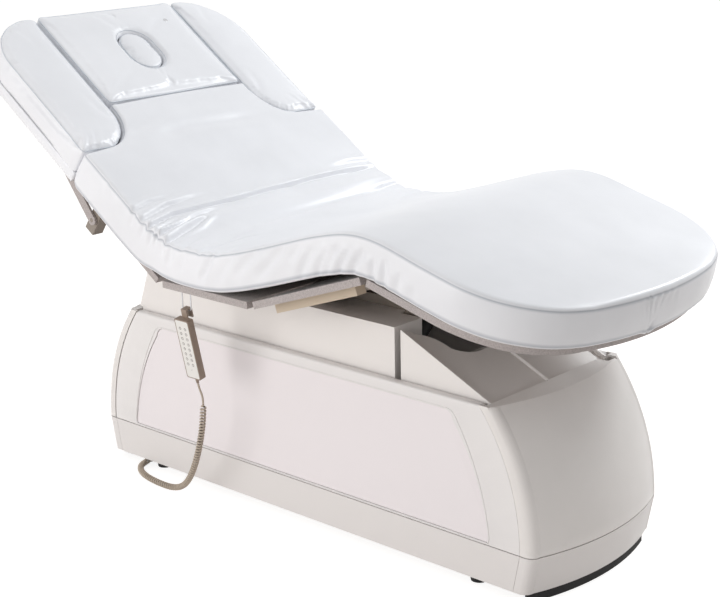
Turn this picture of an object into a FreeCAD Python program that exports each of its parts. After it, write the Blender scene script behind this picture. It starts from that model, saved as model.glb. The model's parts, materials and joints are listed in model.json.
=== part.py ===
import FreeCAD, Part
import Sketcher
import math
import os
from FreeCAD import Placement, Rotation, Vector

# Electric spa bed on a barrel-ended cabinet, in millimetres.
# +X points to the foot end, -Y is the side with the hand control, +Z is up.
# Origin: on the floor, under the middle of the bed's box.

SIZES = [
    # Place of the cabinet and general fits
    ("cab_x", 53.0),
    ("seat_gap", 0.3),
    ("overrun", 2.0),
    ("run_gap", 2.0),
    # Cabinet
    ("cab_half_wid", 230.0),
    ("rim_half_len", 533.0),
    ("end_flare", 107.0),
    ("end_bulge", 27.0),
    ("rim_level", 409.0),
    ("seam_level", 107.0),
    ("plinth_low", 22.0),
    ("seam_gap", 2.4),
    ("panel_thick", 18.0),
    ("panel_round", 6.0),
    ("cap_wrap", 36.0),
    ("cap_bow", 38.0),
    ("cap_wall", 5.0),
    ("cap_corner", 22.0),
    ("cap_lip", 22.0),
    ("head_cap_gap", 4.0),
    ("foot_cap_gap", 0.8),
    ("notch_len", 26.0),
    ("notch_wid", 38.0),
    ("plinth_thick", 15.0),
    ("plinth_tuck", 17.0),
    ("field_top_half", 461.0),
    ("field_low_half", 560.0),
    ("field_top", 381.0),
    ("field_low", 112.0),
    ("field_corner", 20.0),
    ("field_bulge", 18.0),
    ("field_depth", 5.0),
    ("field_thick", 3.0),
    ("field_gap", 1.2),
    # Base frame, feet and skids
    ("rail_wid", 30.0),
    ("rail_tall", 40.0),
    ("rail_end_in", 40.0),
    ("cross_wid", 60.0),
    ("upright_thick", 4.0),
    ("upright_wid", 40.0),
    ("upright_top", 360.0),
    ("upright_x", 395.0),
    ("upright_mid_x", 150.0),
    ("end_lug_half", 20.0),
    ("end_lug_top", 135.0),
    ("end_lug_thick", 6.0),
    ("tray_post_x", 420.0),
    ("tray_post_wid", 20.0),
    ("foot_x", 505.0),
    ("foot_rad", 22.0),
    ("foot_taper", 4.0),
    ("skid_half", 195.0),
    ("skid_wid", 30.0),
    ("skid_inset", 6.0),
    # Inner shroud that rises with the bed
    ("shroud_top", 520.0),
    ("shroud_half_wid", 205.0),
    ("shroud_wall", 3.0),
    ("shroud_head_top", 519.0),
    ("shroud_lip_x", 559.0),
    ("shroud_lip_level", 415.0),
    ("shroud_head_x", 541.0),
    ("shroud_foot_x", 286.0),
    ("shroud_low", 96.0),
    ("shroud_round", 12.0),
    ("bay_x", 223.0),
    ("bay_half", 115.0),
    ("bay_low", 400.0),
    ("bay_slot_x", 78.0),
    ("bay_slot_half", 38.0),
    ("lever_slot_x", 400.0),
    ("lever_slot_len", 212.0),
    ("lever_slot_half", 26.0),
    ("hanger_slot_half", 22.0),
    # Fixed wedge tray at the foot end
    ("tray_x", 303.0),
    ("tray_top", 518.0),
    ("tray_end_gap", 0.5),
    ("tray_end_top", 407.0),
    ("tray_low", 380.0),
    ("tray_wall", 4.0),
    ("tray_sink", 10.0),
    ("tray_mouth_half", 173.0),
    ("tray_mid_half", 130.0),
    ("tray_mid_x", 378.0),
    ("tray_deep_half", 58.0),
    ("tray_deep_x", 408.0),
    ("tray_curve", 11.0),
    ("tray_rib_half", 3.0),
    ("tray_rib_tall", 7.0),
    # Lifting columns and drives
    ("lift_travel", 300.0),
    ("column_head_x", 330.0),
    ("column_foot_x", 10.0),
    ("column_half", 55.0),
    ("column_wall", 6.0),
    ("column_top", 480.0),
    ("ram_wall", 4.0),
    ("ram_low", 75.0),
    ("flange_half", 70.0),
    ("flange_thick", 6.0),
    ("box_x", 170.0),
    ("box_half_len", 75.0),
    ("box_half_wid", 50.0),
    ("box_tall", 58.0),
    ("box_round", 6.0),
    # Mains inlet on the far plinth
    ("inlet_x", 450.0),
    ("inlet_level", 84.0),
    ("inlet_half_len", 24.0),
    ("inlet_half_tall", 13.0),
    ("inlet_flange", 6.0),
    ("inlet_flange_thick", 2.5),
    ("inlet_depth", 23.0),
    ("inlet_bore_depth", 16.0),
    ("inlet_shell", 4.0),
    ("inlet_gap", 0.4),
    ("blade_half", 1.0),
    ("blade_half_tall", 3.0),
    ("blade_len", 12.0),
    ("blade_pitch", 8.0),
    # Boards and hinges of the bed
    ("hinge_level", 559.0),
    ("hip_x", 264.0),
    ("valley_x", 30.0),
    ("board_thick", 16.0),
    ("board_half_wid", 380.0),
    ("board_gap", 10.0),
    ("board_round", 12.0),
    ("pin_rad", 5.0),
    ("pin_gap", 0.3),
    ("knuckle_rad", 8.0),
    ("knuckle_thick", 6.0),
    ("knuckle_gap", 1.0),
    ("frame_half_wid", 170.0),
    ("leaf_step", 7.0),
    ("rail_set", 20.0),
    ("rail_set_far", 45.0),
    ("strap_thick", 6.0),
    ("strap_wid", 60.0),
    ("frame_tube", 30.0),
    ("frame_deep", 25.0),
    ("pin_head_rad", 7.6),
    ("pin_head_thick", 3.0),
    ("seat_cross", 84.0),
    ("back_angle", 35.0),
    ("thigh_angle", 19.0),
    ("leg_angle", 14.5),
    ("thigh_len", 350.0),
    # Back, arm rests and headrest, along the back from its hinge
    ("arm_start", 346.0),
    ("head_start", 483.0),
    ("bed_end", 817.0),
    ("head_half_wid", 219.5),
    ("cushion_gap", 3.0),
    ("arm_corner_s", 650.0),
    ("arm_corner_bow", 40.0),
    ("arm_inner_s", 452.0),
    ("arm_inner_bow", 21.0),
    ("head_corner", 12.0),
    ("board_in", 8.0),
    ("post_half", 15.0),
    ("post_s", 270.0),
    ("post_low", 97.0),
    ("post_y", 340.0),
    ("arm_pivot_drop", 60.0),
    ("ear_thick", 6.0),
    ("ear_rad", 12.0),
    ("arm_boss_s", 400.0),
    ("arm_boss_half", 20.0),
    ("arm_boss_deep", 22.0),
    # Face opening and its plug
    ("face_s", 648.0),
    ("face_half_len", 68.0),
    ("face_half_wid", 46.0),
    ("face_gap", 0.6),
    ("face_ledge", 10.0),
    ("plug_sink", 5.0),
    # Mattress
    ("mat_half_wid", 395.0),
    ("mat_thick", 90.0),
    ("mat_edge_in", 20.0),
    ("mat_corner", 12.0),
    ("mat_crown", 5.0),
    ("mat_side", 5.0),
    ("fold_gap", 1.2),
    ("bend_gap", 0.35),
    ("hip_fold", 36.5),
    ("valley_fold", 16.5),
    # Leg end outline
    ("leg_len", 456.0),
    ("leg_straight", 170.0),
    ("leg_mid_s", 330.0),
    ("leg_end_s", 430.0),
    ("leg_bow_a", 13.0),
    ("leg_bow_b", 17.0),
    ("leg_board_in", 12.0),
    # Rails under the thigh board
    ("channel_start", 22.0),
    ("channel_len", 250.0),
    ("channel_y", 330.0),
    ("channel_wid", 28.0),
    ("channel_deep", 22.0),
    ("channel_wall", 2.5),
    # Leg links
    ("link_x", 237.0),
    ("link_drop", 42.0),
    ("link_s", 85.0),
    ("link_n", 25.0),
    ("link_half_tall", 11.0),
    ("link_thick", 6.0),
    ("link_y", 101.0),
    ("link_open_gap", 4.2),
    ("link_eye_rad", 11.5),
    ("link_bar_half", 89.0),
    ("link_bar_wid", 10.0),
    ("link_bar_tall", 22.0),
    # Back drive, a screw actuator beside the columns
    ("back_drive_x", 40.0),
    ("back_drive_drop", 119.0),
    ("back_lug_s", 10.0),
    ("back_lug_n", 70.0),
    ("back_drive_y", 110.0),
    ("drive_rad", 22.0),
    ("drive_rod_rad", 9.0),
    ("drive_eye_rad", 13.0),
    ("drive_eye_half", 10.0),
    ("drive_pin_rad", 5.0),
    ("drive_fork_half", 17.0),
    ("drive_rod_start", 92.0),
    ("thigh_rod_start", 122.0),
    ("drive_bore_start", 44.0),
    ("drive_tube_start", 22.0),
    ("thigh_eye_half", 26.0),
    ("open_gap", 3.4),
    ("drive_bore_gap", 0.6),
    ("back_tube_len", 200.0),
    ("motor_half", 26.0),
    ("motor_len", 70.0),
    ("motor_tall", 62.0),
    ("motor_back", 18.0),
    # Thigh drive
    ("thigh_drive_x", 100.0),
    ("thigh_drive_drop", 239.0),
    ("thigh_lug_s", 240.0),
    ("thigh_lug_n", 50.0),
    ("thigh_tube_len", 215.0),
    # Hand control and its wire hook
    ("hand_x", 193.0),
    ("hand_y", 385.0),
    ("hand_top", 487.0),
    ("hand_lean", 12.0),
    ("hand_half_wid", 23.0),
    ("hand_tall", 150.0),
    ("hand_thick", 17.0),
    ("hand_round", 4.0),
    ("hand_taper", 2.0),
    ("foil_in", 2.5),
    ("foil_thick", 0.6),
    ("hook_half", 9.0),
    ("hook_wall", 3.0),
    ("hook_reach", 15.0),
    ("hook_rise", 20.0),
    ("hook_leg", 24.0),
    ("wire_rad", 1.5),
    ("wire_half", 14.0),
    ("wire_bend", 5.0),
    ("wire_foot", 14.0),
    # Curly cord
    ("cord_rad", 2.4),
    ("curl_rad", 5.6),
    ("relief_len", 14.0),
    ("relief_rad", 4.2),
    ("lead_run", 14.0),
    ("gland_len", 20.0),
    ("gland_rad", 7.5),
    ("gland_block", 5.0),
    ("curl_count", 70.0),
]

# Shares of a length, chosen by hand
half_share = 0.5
corner_share = 1.0 - math.sqrt(0.5)
oval_end_share = 0.94
arm_corner_share = 0.24
arm_inner_share = 0.46
leg_mid_share = 0.9
leg_end_share = 0.54
leaf_neck_shares = (0.25, 0.96)
tiny = 1e-7

doc = FreeCAD.newDocument("spa_bed")
sheet = doc.addObject("Spreadsheet::Sheet", "Params")
for row, (alias, value) in enumerate(SIZES, 1):
    sheet.set(f"A{row}", alias)
    sheet.set(f"B{row}", str(value))
    sheet.setAlias(f"B{row}", alias)
doc.recompute()


class Dim:
    """A size that knows its value and the sheet expression that gives it."""

    def __init__(self, value, text):
        self.value = value
        self.text = text

    def __add__(self, other):
        other = dim(other)
        return Dim(self.value + other.value, f"({self.text} + {other.text})")

    def __sub__(self, other):
        other = dim(other)
        return Dim(self.value - other.value, f"({self.text} - {other.text})")

    def __rsub__(self, other):
        return dim(other) - self

    def __mul__(self, other):
        other = dim(other)
        return Dim(self.value * other.value, f"({self.text} * {other.text})")

    def __truediv__(self, other):
        other = dim(other)
        return Dim(self.value / other.value, f"({self.text} / {other.text})")

    def __neg__(self):
        return Dim(-self.value, f"(-1 * {self.text})")

    __radd__ = __add__
    __rmul__ = __mul__


def dim(value):
    return value if isinstance(value, Dim) else Dim(float(value), repr(float(value)))


class Sizes:
    """Gives each alias of the sheet as a Dim."""

    def __getattr__(self, alias):
        return Dim(float(sheet.get(alias)), f"Params.{alias}")


d = Sizes()
zero = dim(0)


def sine(angle):
    return Dim(math.sin(math.radians(angle.value)), f"sin({angle.text} * 1 deg)")


def cosine(angle):
    return Dim(math.cos(math.radians(angle.value)), f"cos({angle.text} * 1 deg)")


def tangent(angle):
    return Dim(math.tan(math.radians(angle.value)), f"tan({angle.text} * 1 deg)")


def root(square):
    return Dim(math.sqrt(square.value), f"sqrt({square.text})")


def heading(rise, run):
    """Angle of a direction, in degrees."""
    value = math.degrees(math.atan2(rise.value, run.value))
    return Dim(value, f"(atan2({rise.text}; {run.text}) / 1 deg)")


def place(obj, x=zero, y=zero, z=zero, axis=None, angle=None):
    turn = Rotation(axis, angle.value) if angle else Rotation()
    obj.Placement = Placement(Vector(x.value, y.value, z.value), turn)
    for letter, size in zip("xyz", (x, y, z)):
        obj.setExpression(f"Placement.Base.{letter}", size.text)
    if angle:
        obj.setExpression("Placement.Rotation.Angle", angle.text)
    return obj


def bound(obj, **sizes):
    for prop, size in sizes.items():
        setattr(obj, prop, dim(size).value)
        obj.setExpression(prop, dim(size).text)
    return obj


# Plain solids with their sizes bound to the sheet

def block(x_low, x_high, y_low, y_high, z_low, z_high):
    """Box between two corners."""
    box = doc.addObject("Part::Box", "Block")
    bound(box, Length=x_high - x_low, Width=y_high - y_low, Height=z_high - z_low)
    return place(box, dim(x_low), dim(y_low), dim(z_low))


def bar(x, y, z, axis, radius, length):
    """Round bar from a point, along X, Y or Z."""
    rod = doc.addObject("Part::Cylinder", "Bar")
    bound(rod, Radius=radius, Height=length)
    turns = {"x": Rotation(Vector(0, 1, 0), 90), "y": Rotation(Vector(1, 0, 0), -90), "z": Rotation()}
    rod.Placement = Placement(Vector(x.value, y.value, z.value), turns[axis])
    for letter, size in zip("xyz", (x, y, z)):
        rod.setExpression(f"Placement.Base.{letter}", size.text)
    return rod


def fused(*pieces):
    whole = doc.addObject("Part::MultiFuse", "Fused")
    whole.Shapes = list(pieces)
    whole.Refine = True
    return whole


def cut(base, *tools):
    whole = doc.addObject("Part::Cut", "Cut")
    whole.Base = base
    whole.Tool = tools[0] if len(tools) == 1 else fused(*tools)
    whole.Refine = True
    return whole


def grouped(*pieces):
    whole = doc.addObject("Part::Compound", "Group")
    whole.Links = list(pieces)
    return whole


# Sketched bodies: an outline is a list of (x, y) or (x, y, bulge) points,
# where bulge is how far the edge to the next point bows out to its right.

def arc_radius(start, end, bulge):
    run = end[0] - start[0]
    rise = end[1] - start[1]
    size = bulge if bulge.value > 0 else -bulge
    return (run * run + rise * rise) / (size * 8) + size * half_share


def add_outline(sketch, outline, closed=True):
    points = [(dim(point[0]), dim(point[1])) for point in outline]
    bulges = [dim(point[2]) if len(point) > 2 else None for point in outline]
    count = len(points) if closed else len(points) - 1
    ends = []
    rules = []
    texts = []
    first = sketch.GeometryCount
    for index in range(count):
        start, end = points[index], points[(index + 1) % len(points)]
        here = Vector(start[0].value, start[1].value, 0)
        there = Vector(end[0].value, end[1].value, 0)
        bulge = bulges[index]
        if bulge is None:
            sketch.addGeometry(Part.LineSegment(here, there))
            ends.append((first + index, 1, 2))
            continue
        along = (there - here).normalize()
        middle = (here + there) * half_share + Vector(along.y, -along.x, 0) * bulge.value
        left_turn = bulge.value > 0
        arc = Part.Arc(here, middle, there) if left_turn else Part.Arc(there, middle, here)
        sketch.addGeometry(arc)
        ends.append((first + index, 1, 2) if left_turn else (first + index, 2, 1))
    for index in range(count if closed else count - 1):
        after = ends[(index + 1) % count]
        rules.append(Sketcher.Constraint("Coincident", ends[index][0], ends[index][2], after[0], after[1]))
        texts.append(None)
    for index, point in enumerate(points):
        geometry, spot = (ends[index][0], ends[index][1]) if index < count else (ends[-1][0], ends[-1][2])
        for kind, size in (("DistanceX", point[0]), ("DistanceY", point[1])):
            if abs(size.value) < tiny:
                axis = -2 if kind == "DistanceX" else -1
                rules.append(Sketcher.Constraint("PointOnObject", geometry, spot, axis))
                texts.append(None)
            else:
                rules.append(Sketcher.Constraint(kind, -1, 1, geometry, spot, size.value))
                texts.append(size.text)
    for index in range(count):
        if bulges[index] is not None:
            size = arc_radius(points[index], points[(index + 1) % len(points)], bulges[index])
            rules.append(Sketcher.Constraint("Radius", first + index, size.value))
            texts.append(size.text)
    base = sketch.ConstraintCount
    sketch.addConstraint(rules)
    for index, text in enumerate(texts):
        if text:
            sketch.setExpression(f"Constraints[{base + index}]", text)


def new_body():
    return doc.addObject("PartDesign::Body", "Body")


def new_sketch(body, role, offset, *outlines, closed=True):
    plane = [item for item in body.Origin.OriginFeatures if item.Role == role][0]
    sketch = body.newObject("Sketcher::SketchObject", "Sketch")
    sketch.AttachmentSupport = [(plane, "")]
    sketch.MapMode = "FlatFace"
    sketch.AttachmentOffset = Placement(Vector(0, 0, offset.value), Rotation())
    sketch.setExpression("AttachmentOffset.Base.z", offset.text)
    for outline in outlines:
        add_outline(sketch, outline, closed)
    return sketch


def pad(body, role, low, high, *outlines):
    """Adds the outline's prism between two levels across its plane."""
    low, high = dim(low), dim(high)
    offset = -high if role == "XZ_Plane" else low
    feature = body.newObject("PartDesign::Pad", "Pad")
    feature.Profile = new_sketch(body, role, offset, *outlines)
    bound(feature, Length=high - low)
    return feature


def pocket(body, role, low, high, *outlines):
    """Removes the outline's prism between two levels across its plane."""
    low, high = dim(low), dim(high)
    offset = -low if role == "XZ_Plane" else high
    feature = body.newObject("PartDesign::Pocket", "Pocket")
    feature.Profile = new_sketch(body, role, offset, *outlines)
    bound(feature, Length=high - low)
    return feature


def rectangle(x_low, x_high, y_low, y_high):
    return [(x_low, y_low), (x_high, y_low), (x_high, y_high), (x_low, y_high)]


def rounded_rectangle(x_low, x_high, y_low, y_high, radius):
    bow = radius * corner_share
    return [
        (x_low + radius, y_low), (x_high - radius, y_low, bow), (x_high, y_low + radius),
        (x_high, y_high - radius, bow), (x_high - radius, y_high), (x_low + radius, y_high, bow),
        (x_low, y_high - radius), (x_low, y_low + radius, bow),
    ]


def round_edges(body, radius, picked):
    """Fillets the edges of the body's last feature that picked accepts."""
    doc.recompute()
    base = body.Tip
    names = [f"Edge{index}" for index, edge in enumerate(base.Shape.Edges, 1) if picked(edge)]
    feature = body.newObject("PartDesign::Fillet", "Fillet")
    feature.Base = (base, names)
    bound(feature, Radius=radius)
    return feature


NODES = []


def node(name, piece, frame=None):
    """Names a sub-part and sets it on its carrying frame."""
    piece.Label = name
    if frame:
        frame(piece)
    NODES.append(piece)
    return piece


# Frames in which the sub-parts are drawn flat: the cabinet and the lift share
# the cabinet's middle, and each bed section turns about its own hinge.

knee_x = d.valley_x + d.thigh_len * cosine(d.thigh_angle)
knee_level = d.hinge_level + d.thigh_len * sine(d.thigh_angle)
back_axis = Vector(0, 1, 0)
leg_axis = Vector(0, -1, 0)


def on_cabinet(piece):
    place(piece, d.cab_x)


def turned_on_cabinet(piece):
    place(piece, d.cab_x, zero, zero, Vector(0, 0, 1), dim(180))


def on_back(piece):
    place(piece, d.cab_x - d.hip_x, zero, d.hinge_level, back_axis, d.back_angle)


def on_thigh(piece):
    place(piece, d.cab_x + d.valley_x, zero, d.hinge_level, leg_axis, d.thigh_angle)


def on_leg(piece):
    place(piece, d.cab_x + knee_x, zero, knee_level, back_axis, d.leg_angle)


# Cabinet

seam_half_len = d.rim_half_len + d.end_flare
rail_half_len = seam_half_len - d.rail_end_in
panel_low = d.seam_level + d.seam_gap * half_share
plinth_top = d.seam_level - d.seam_gap * half_share
panel_in = d.cab_half_wid - d.panel_thick
plinth_in = d.cab_half_wid - d.plinth_thick


def panel_outline():
    return [
        (-seam_half_len, panel_low), (seam_half_len, panel_low, d.end_bulge),
        (d.rim_half_len, d.rim_level), (-d.rim_half_len, d.rim_level, d.end_bulge),
    ]


def field_outline(inset):
    bow = d.field_corner * corner_share
    lean = (d.field_low_half - d.field_top_half) / (d.field_top - d.field_low) * d.field_corner * half_share
    top, low = d.field_top - inset, d.field_low + inset
    wide, slim = d.field_low_half - inset, d.field_top_half - inset
    shoulder = slim + lean
    return [
        (-wide, low), (wide, low, d.field_bulge), (shoulder, top - d.field_corner, bow),
        (slim - d.field_corner, top), (-(slim - d.field_corner), top, bow),
        (-shoulder, top - d.field_corner, d.field_bulge),
    ]


def side_panel(sign):
    body = new_body()
    outer, inner = d.cab_half_wid * sign, panel_in * sign
    floor = (d.cab_half_wid - d.field_depth) * sign
    faces = (outer, inner) if sign < 0 else (inner, outer)
    pad(body, "XZ_Plane", faces[0], faces[1], panel_outline())
    skin = (outer - d.overrun, floor) if sign < 0 else (floor, outer + d.overrun)
    pocket(body, "XZ_Plane", skin[0], skin[1], field_outline(zero))
    top = d.rim_level.value
    side = outer.value
    round_edges(body, d.panel_round, lambda edge: edge_on(edge, "z", top) and edge_on(edge, "y", side))
    return body


def edge_on(edge, letter, level):
    """True if the whole edge lies at one level of an axis."""
    box = edge.BoundBox
    low, high = getattr(box, f"{letter.upper()}Min"), getattr(box, f"{letter.upper()}Max")
    near = d.seat_gap.value
    return abs(low - level) < near and abs(high - level) < near


def field_panel(sign):
    body = new_body()
    back = (d.cab_half_wid - d.field_depth) * sign
    front = (d.cab_half_wid - d.field_depth + d.field_thick) * sign
    faces = (front, back) if sign < 0 else (back, front)
    pad(body, "XZ_Plane", faces[0], faces[1], field_outline(d.field_gap))
    return body


def cap_band(start, corner):
    """Plan of a bowed end wall with its two returns along the sides."""
    side, wall, turn = d.cab_half_wid, d.cap_wall, d.cap_corner
    bow = turn * corner_share
    inner_bow = (turn - wall) * corner_share
    return [
        (start, -side), (corner - turn, -side, bow), (corner, turn - side, d.cap_bow),
        (corner, side - turn, bow), (corner - turn, side), (start, side), (start, side - wall),
        (corner - turn, side - wall, -inner_bow), (corner - wall, side - turn, -d.cap_bow),
        (corner - wall, turn - side, -inner_bow), (corner - turn, wall - side), (start, wall - side),
    ]


def banded_wall(body, gap, sections):
    """Lofts the end wall's plan through levels, each with its own tuck."""
    start = seam_half_len + gap
    corner = seam_half_len + d.cap_wrap
    wall = body.newObject("PartDesign::AdditiveLoft", "Wall")
    plans = [new_sketch(body, "XY_Plane", level, cap_band(start - tuck, corner - tuck))
             for level, tuck in sections]
    wall.Profile = plans[0]
    wall.Sections = plans[1:]
    return wall


def bowed_side():
    """Levels and tucks at the foot, belly and rim of a bowed end."""
    rise = d.rim_level - panel_low
    slant = root(rise * rise + d.end_flare * d.end_flare)
    return [
        (panel_low, zero),
        (panel_low + rise * half_share + d.end_bulge * d.end_flare / slant,
         d.end_flare * half_share - d.end_bulge * rise / slant),
        (d.rim_level, d.end_flare),
    ]


def end_cap(gap, notched):
    body = new_body()
    banded_wall(body, gap, bowed_side())
    corner = d.rim_half_len + d.cap_wrap
    side, turn = d.cab_half_wid, d.cap_corner
    bow = turn * corner_share
    inner = corner - d.cap_lip
    pad(body, "XY_Plane", d.rim_level - d.cap_wall, d.rim_level, [
        (inner, -side), (corner - turn * half_share, -side), (corner, turn - side, d.cap_bow),
        (corner, side - turn), (corner - turn * half_share, side), (inner, side),
    ])
    if notched:
        pocket(body, "XY_Plane", d.rim_level - d.cap_wall - d.overrun, d.rim_level + d.overrun, rectangle(
            inner - d.overrun, inner + d.notch_len,
            panel_in - d.overrun - d.notch_wid, panel_in - d.overrun))
    return body


def plinth_end():
    body = new_body()
    banded_wall(body, d.foot_cap_gap, [(d.plinth_low, d.plinth_tuck), (plinth_top, zero)])
    return body


def plinth_side(sign):
    body = new_body()
    low_half = seam_half_len - d.plinth_tuck
    faces = (-d.cab_half_wid, -plinth_in) if sign < 0 else (plinth_in, d.cab_half_wid)
    pad(body, "XZ_Plane", faces[0], faces[1], [
        (-low_half, d.plinth_low), (low_half, d.plinth_low),
        (seam_half_len, plinth_top), (-seam_half_len, plinth_top)])
    if sign > 0:
        reach_x, reach_z = d.inlet_half_len + d.inlet_gap, d.inlet_half_tall + d.inlet_gap
        pocket(body, "XZ_Plane", plinth_in - d.overrun, d.cab_half_wid + d.overrun, rectangle(
            -d.inlet_x - reach_x, reach_x - d.inlet_x,
            d.inlet_level - reach_z, d.inlet_level + reach_z))
    return body


def cap_bow_x(half, wall_x):
    """How far the bowed wall stands at a distance from the middle line."""
    chord = d.cab_half_wid - d.cap_corner
    radius = (chord * chord + d.cap_bow * d.cap_bow) / (d.cap_bow * 2)
    return wall_x + d.cap_bow - half * half / (radius * 2)


node("side_panel_near", side_panel(-1), on_cabinet)
node("side_panel_far", side_panel(1), on_cabinet)
node("field_panel_near", field_panel(-1), on_cabinet)
node("field_panel_far", field_panel(1), on_cabinet)
node("foot_end_cap", end_cap(d.foot_cap_gap, True), on_cabinet)
node("head_end_cap", end_cap(d.head_cap_gap, False), turned_on_cabinet)
node("plinth_foot", plinth_end(), on_cabinet)
node("plinth_head", plinth_end(), turned_on_cabinet)
node("plinth_near", plinth_side(-1), on_cabinet)
node("plinth_far", plinth_side(1), on_cabinet)


# Base frame with its uprights, feet and skids

frame_top = d.plinth_low + d.rail_tall


def mirrored_blocks(x_low, x_high, y_low, y_high, z_low, z_high):
    return [block(x_low, x_high, y_low, y_high, z_low, z_high),
            block(x_low, x_high, -y_high, -y_low, z_low, z_high)]


def base_frame():
    half_cross = d.cross_wid * half_share
    pieces = mirrored_blocks(-rail_half_len, rail_half_len,
                             plinth_in - d.rail_wid, plinth_in, d.plinth_low, frame_top)
    inside = plinth_in - d.rail_wid
    for middle in (-d.column_head_x, -d.box_x, -d.column_foot_x, d.tray_post_x, -d.foot_x):
        pieces.append(block(middle - half_cross, middle + half_cross,
                            -inside, inside, d.plinth_low, frame_top))
    for middle in (-d.upright_x, -d.upright_mid_x, d.upright_mid_x, d.upright_x):
        pieces += mirrored_blocks(middle - d.upright_wid * half_share, middle + d.upright_wid * half_share,
                                  panel_in - d.upright_thick, panel_in, frame_top, d.upright_top)
    reach = cap_bow_x(d.end_lug_half, seam_half_len + d.cap_wrap - d.cap_wall) - d.seat_gap - d.seat_gap
    low_reach = reach - d.plinth_tuck
    half = d.end_lug_half
    strap = d.end_lug_thick + d.plinth_tuck
    for low, high in ((d.tray_post_x + half_cross, low_reach), (-low_reach, -d.foot_x - half_cross)):
        pieces.append(block(low, high, -half, half, d.plinth_low, frame_top))
    for low, high in ((reach - strap, reach), (-reach, strap - reach)):
        pieces.append(block(low, high, -half, half, plinth_top, panel_low + d.end_lug_thick * 2))
    post = d.tray_post_wid * half_share
    for low, high in ((low_reach - strap, low_reach), (-low_reach, strap - low_reach)):
        pieces.append(block(low, high, -half, half, frame_top, plinth_top))
    pieces += mirrored_blocks(d.tray_post_x - post, d.tray_post_x + post,
                              d.shroud_half_wid - d.tray_post_wid - d.tray_post_wid,
                              d.shroud_half_wid - d.tray_post_wid + d.tray_wall,
                              frame_top, d.tray_low)
    return grouped(*pieces)


def glide_feet():
    feet = []
    middle_y = plinth_in - d.foot_rad - d.overrun
    for x in (-d.foot_x, d.foot_x):
        for y in (-middle_y, middle_y):
            foot = doc.addObject("Part::Cone", "Foot")
            bound(foot, Radius1=d.foot_rad - d.foot_taper, Radius2=d.foot_rad, Height=d.plinth_low)
            feet.append(place(foot, x, y, zero))
    return grouped(*feet)


def base_skids():
    outer = cap_bow_x(d.skid_half, seam_half_len + d.cap_wrap - d.plinth_tuck) - d.skid_inset
    bow = cap_bow_x(zero, zero) - cap_bow_x(d.skid_half, zero)
    skids = []
    for angle in (dim(0), dim(180)):
        body = new_body()
        pad(body, "XY_Plane", zero, d.plinth_low, [
            (outer - d.skid_wid, -d.skid_half), (outer, -d.skid_half, bow),
            (outer, d.skid_half), (outer - d.skid_wid, d.skid_half, -bow)])
        skids.append(place(body, zero, zero, zero, Vector(0, 0, 1), angle))
    return grouped(*skids)


node("base_frame", base_frame(), on_cabinet)
node("glide_feet", glide_feet(), on_cabinet)
node("base_skids", base_skids(), on_cabinet)


# Wedge tray, fixed between the shroud and the foot cap

def wedge_cover():
    body = new_body()
    end_x = d.rim_half_len + d.cap_wrap - d.cap_lip - d.tray_end_gap
    fall = (d.tray_top - d.tray_end_top) / (end_x - d.tray_x)
    side = d.shroud_half_wid

    def slope(x, drop):
        return d.tray_top - (x - d.tray_x) * fall - drop

    start = d.tray_x - d.overrun
    inner_end = end_x - d.tray_wall
    pad(body, "XZ_Plane", -side, side, [
        (d.tray_x, d.tray_low), (end_x, d.tray_low), (end_x, d.tray_end_top), (d.tray_x, d.tray_top)])
    under = d.tray_sink + d.tray_wall
    inside = side - d.tray_wall
    pocket(body, "XZ_Plane", -inside, inside, [
        (start, d.tray_low - d.overrun), (inner_end, d.tray_low - d.overrun),
        (inner_end, slope(inner_end, under)), (start, slope(start, under))])
    pocket(body, "XZ_Plane", -inside, inside, [
        (start, slope(start, d.tray_sink)), (end_x + d.overrun, slope(end_x + d.overrun, d.tray_sink)),
        (end_x + d.overrun, d.tray_top + d.tray_sink), (start, d.tray_top + d.tray_sink)])
    mouth, middle, deep = d.tray_mouth_half, d.tray_mid_half, d.tray_deep_half
    curve = d.tray_curve
    pocket(body, "XY_Plane", d.tray_end_top, d.tray_top + d.overrun, [
        (start, -mouth), (d.tray_x + d.tray_curve, -mouth, -curve), (d.tray_mid_x, -middle, curve),
        (d.tray_deep_x, -deep), (d.tray_deep_x, deep, curve), (d.tray_mid_x, middle, -curve),
        (d.tray_x + d.tray_curve, mouth), (start, mouth)])
    lap = d.tray_wall * half_share
    pad(body, "XZ_Plane", -d.tray_rib_half, d.tray_rib_half, [
        (d.tray_deep_x, slope(d.tray_deep_x, d.tray_sink + lap)), (inner_end, slope(inner_end, d.tray_sink + lap)),
        (inner_end, slope(inner_end, d.tray_sink - d.tray_rib_tall)),
        (d.tray_deep_x, slope(d.tray_deep_x, d.tray_sink - d.tray_rib_tall))])
    return body


node("wedge_cover", wedge_cover(), on_cabinet)


# Lifting columns, control box and mains inlet

def column_housing(x):
    outer, inner = d.column_half, d.column_half - d.column_wall
    return cut(block(x - outer, x + outer, -outer, outer, frame_top, d.column_top),
               block(x - inner, x + inner, -inner, inner, frame_top + d.column_wall, d.column_top + d.overrun))


def column_ram(x):
    outer = d.column_half - d.column_wall - d.run_gap
    inner = outer - d.ram_wall
    under = d.shroud_top - d.shroud_wall
    flange_low = under - d.flange_thick
    tube = cut(block(x - outer, x + outer, -outer, outer, d.ram_low, flange_low + d.overrun),
               block(x - inner, x + inner, -inner, inner, d.ram_low - d.overrun, flange_low))
    return fused(tube, block(x - d.flange_half, x + d.flange_half, -d.flange_half, d.flange_half,
                             flange_low, under))


def control_box():
    body = new_body()
    pad(body, "XY_Plane", frame_top, frame_top + d.box_tall, rounded_rectangle(
        -d.box_x - d.box_half_len, d.box_half_len - d.box_x,
        -d.box_half_wid, d.box_half_wid, d.box_round))
    top = (frame_top + d.box_tall).value
    round_edges(body, d.box_round * half_share, lambda edge: edge_on(edge, "z", top))
    return body


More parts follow.
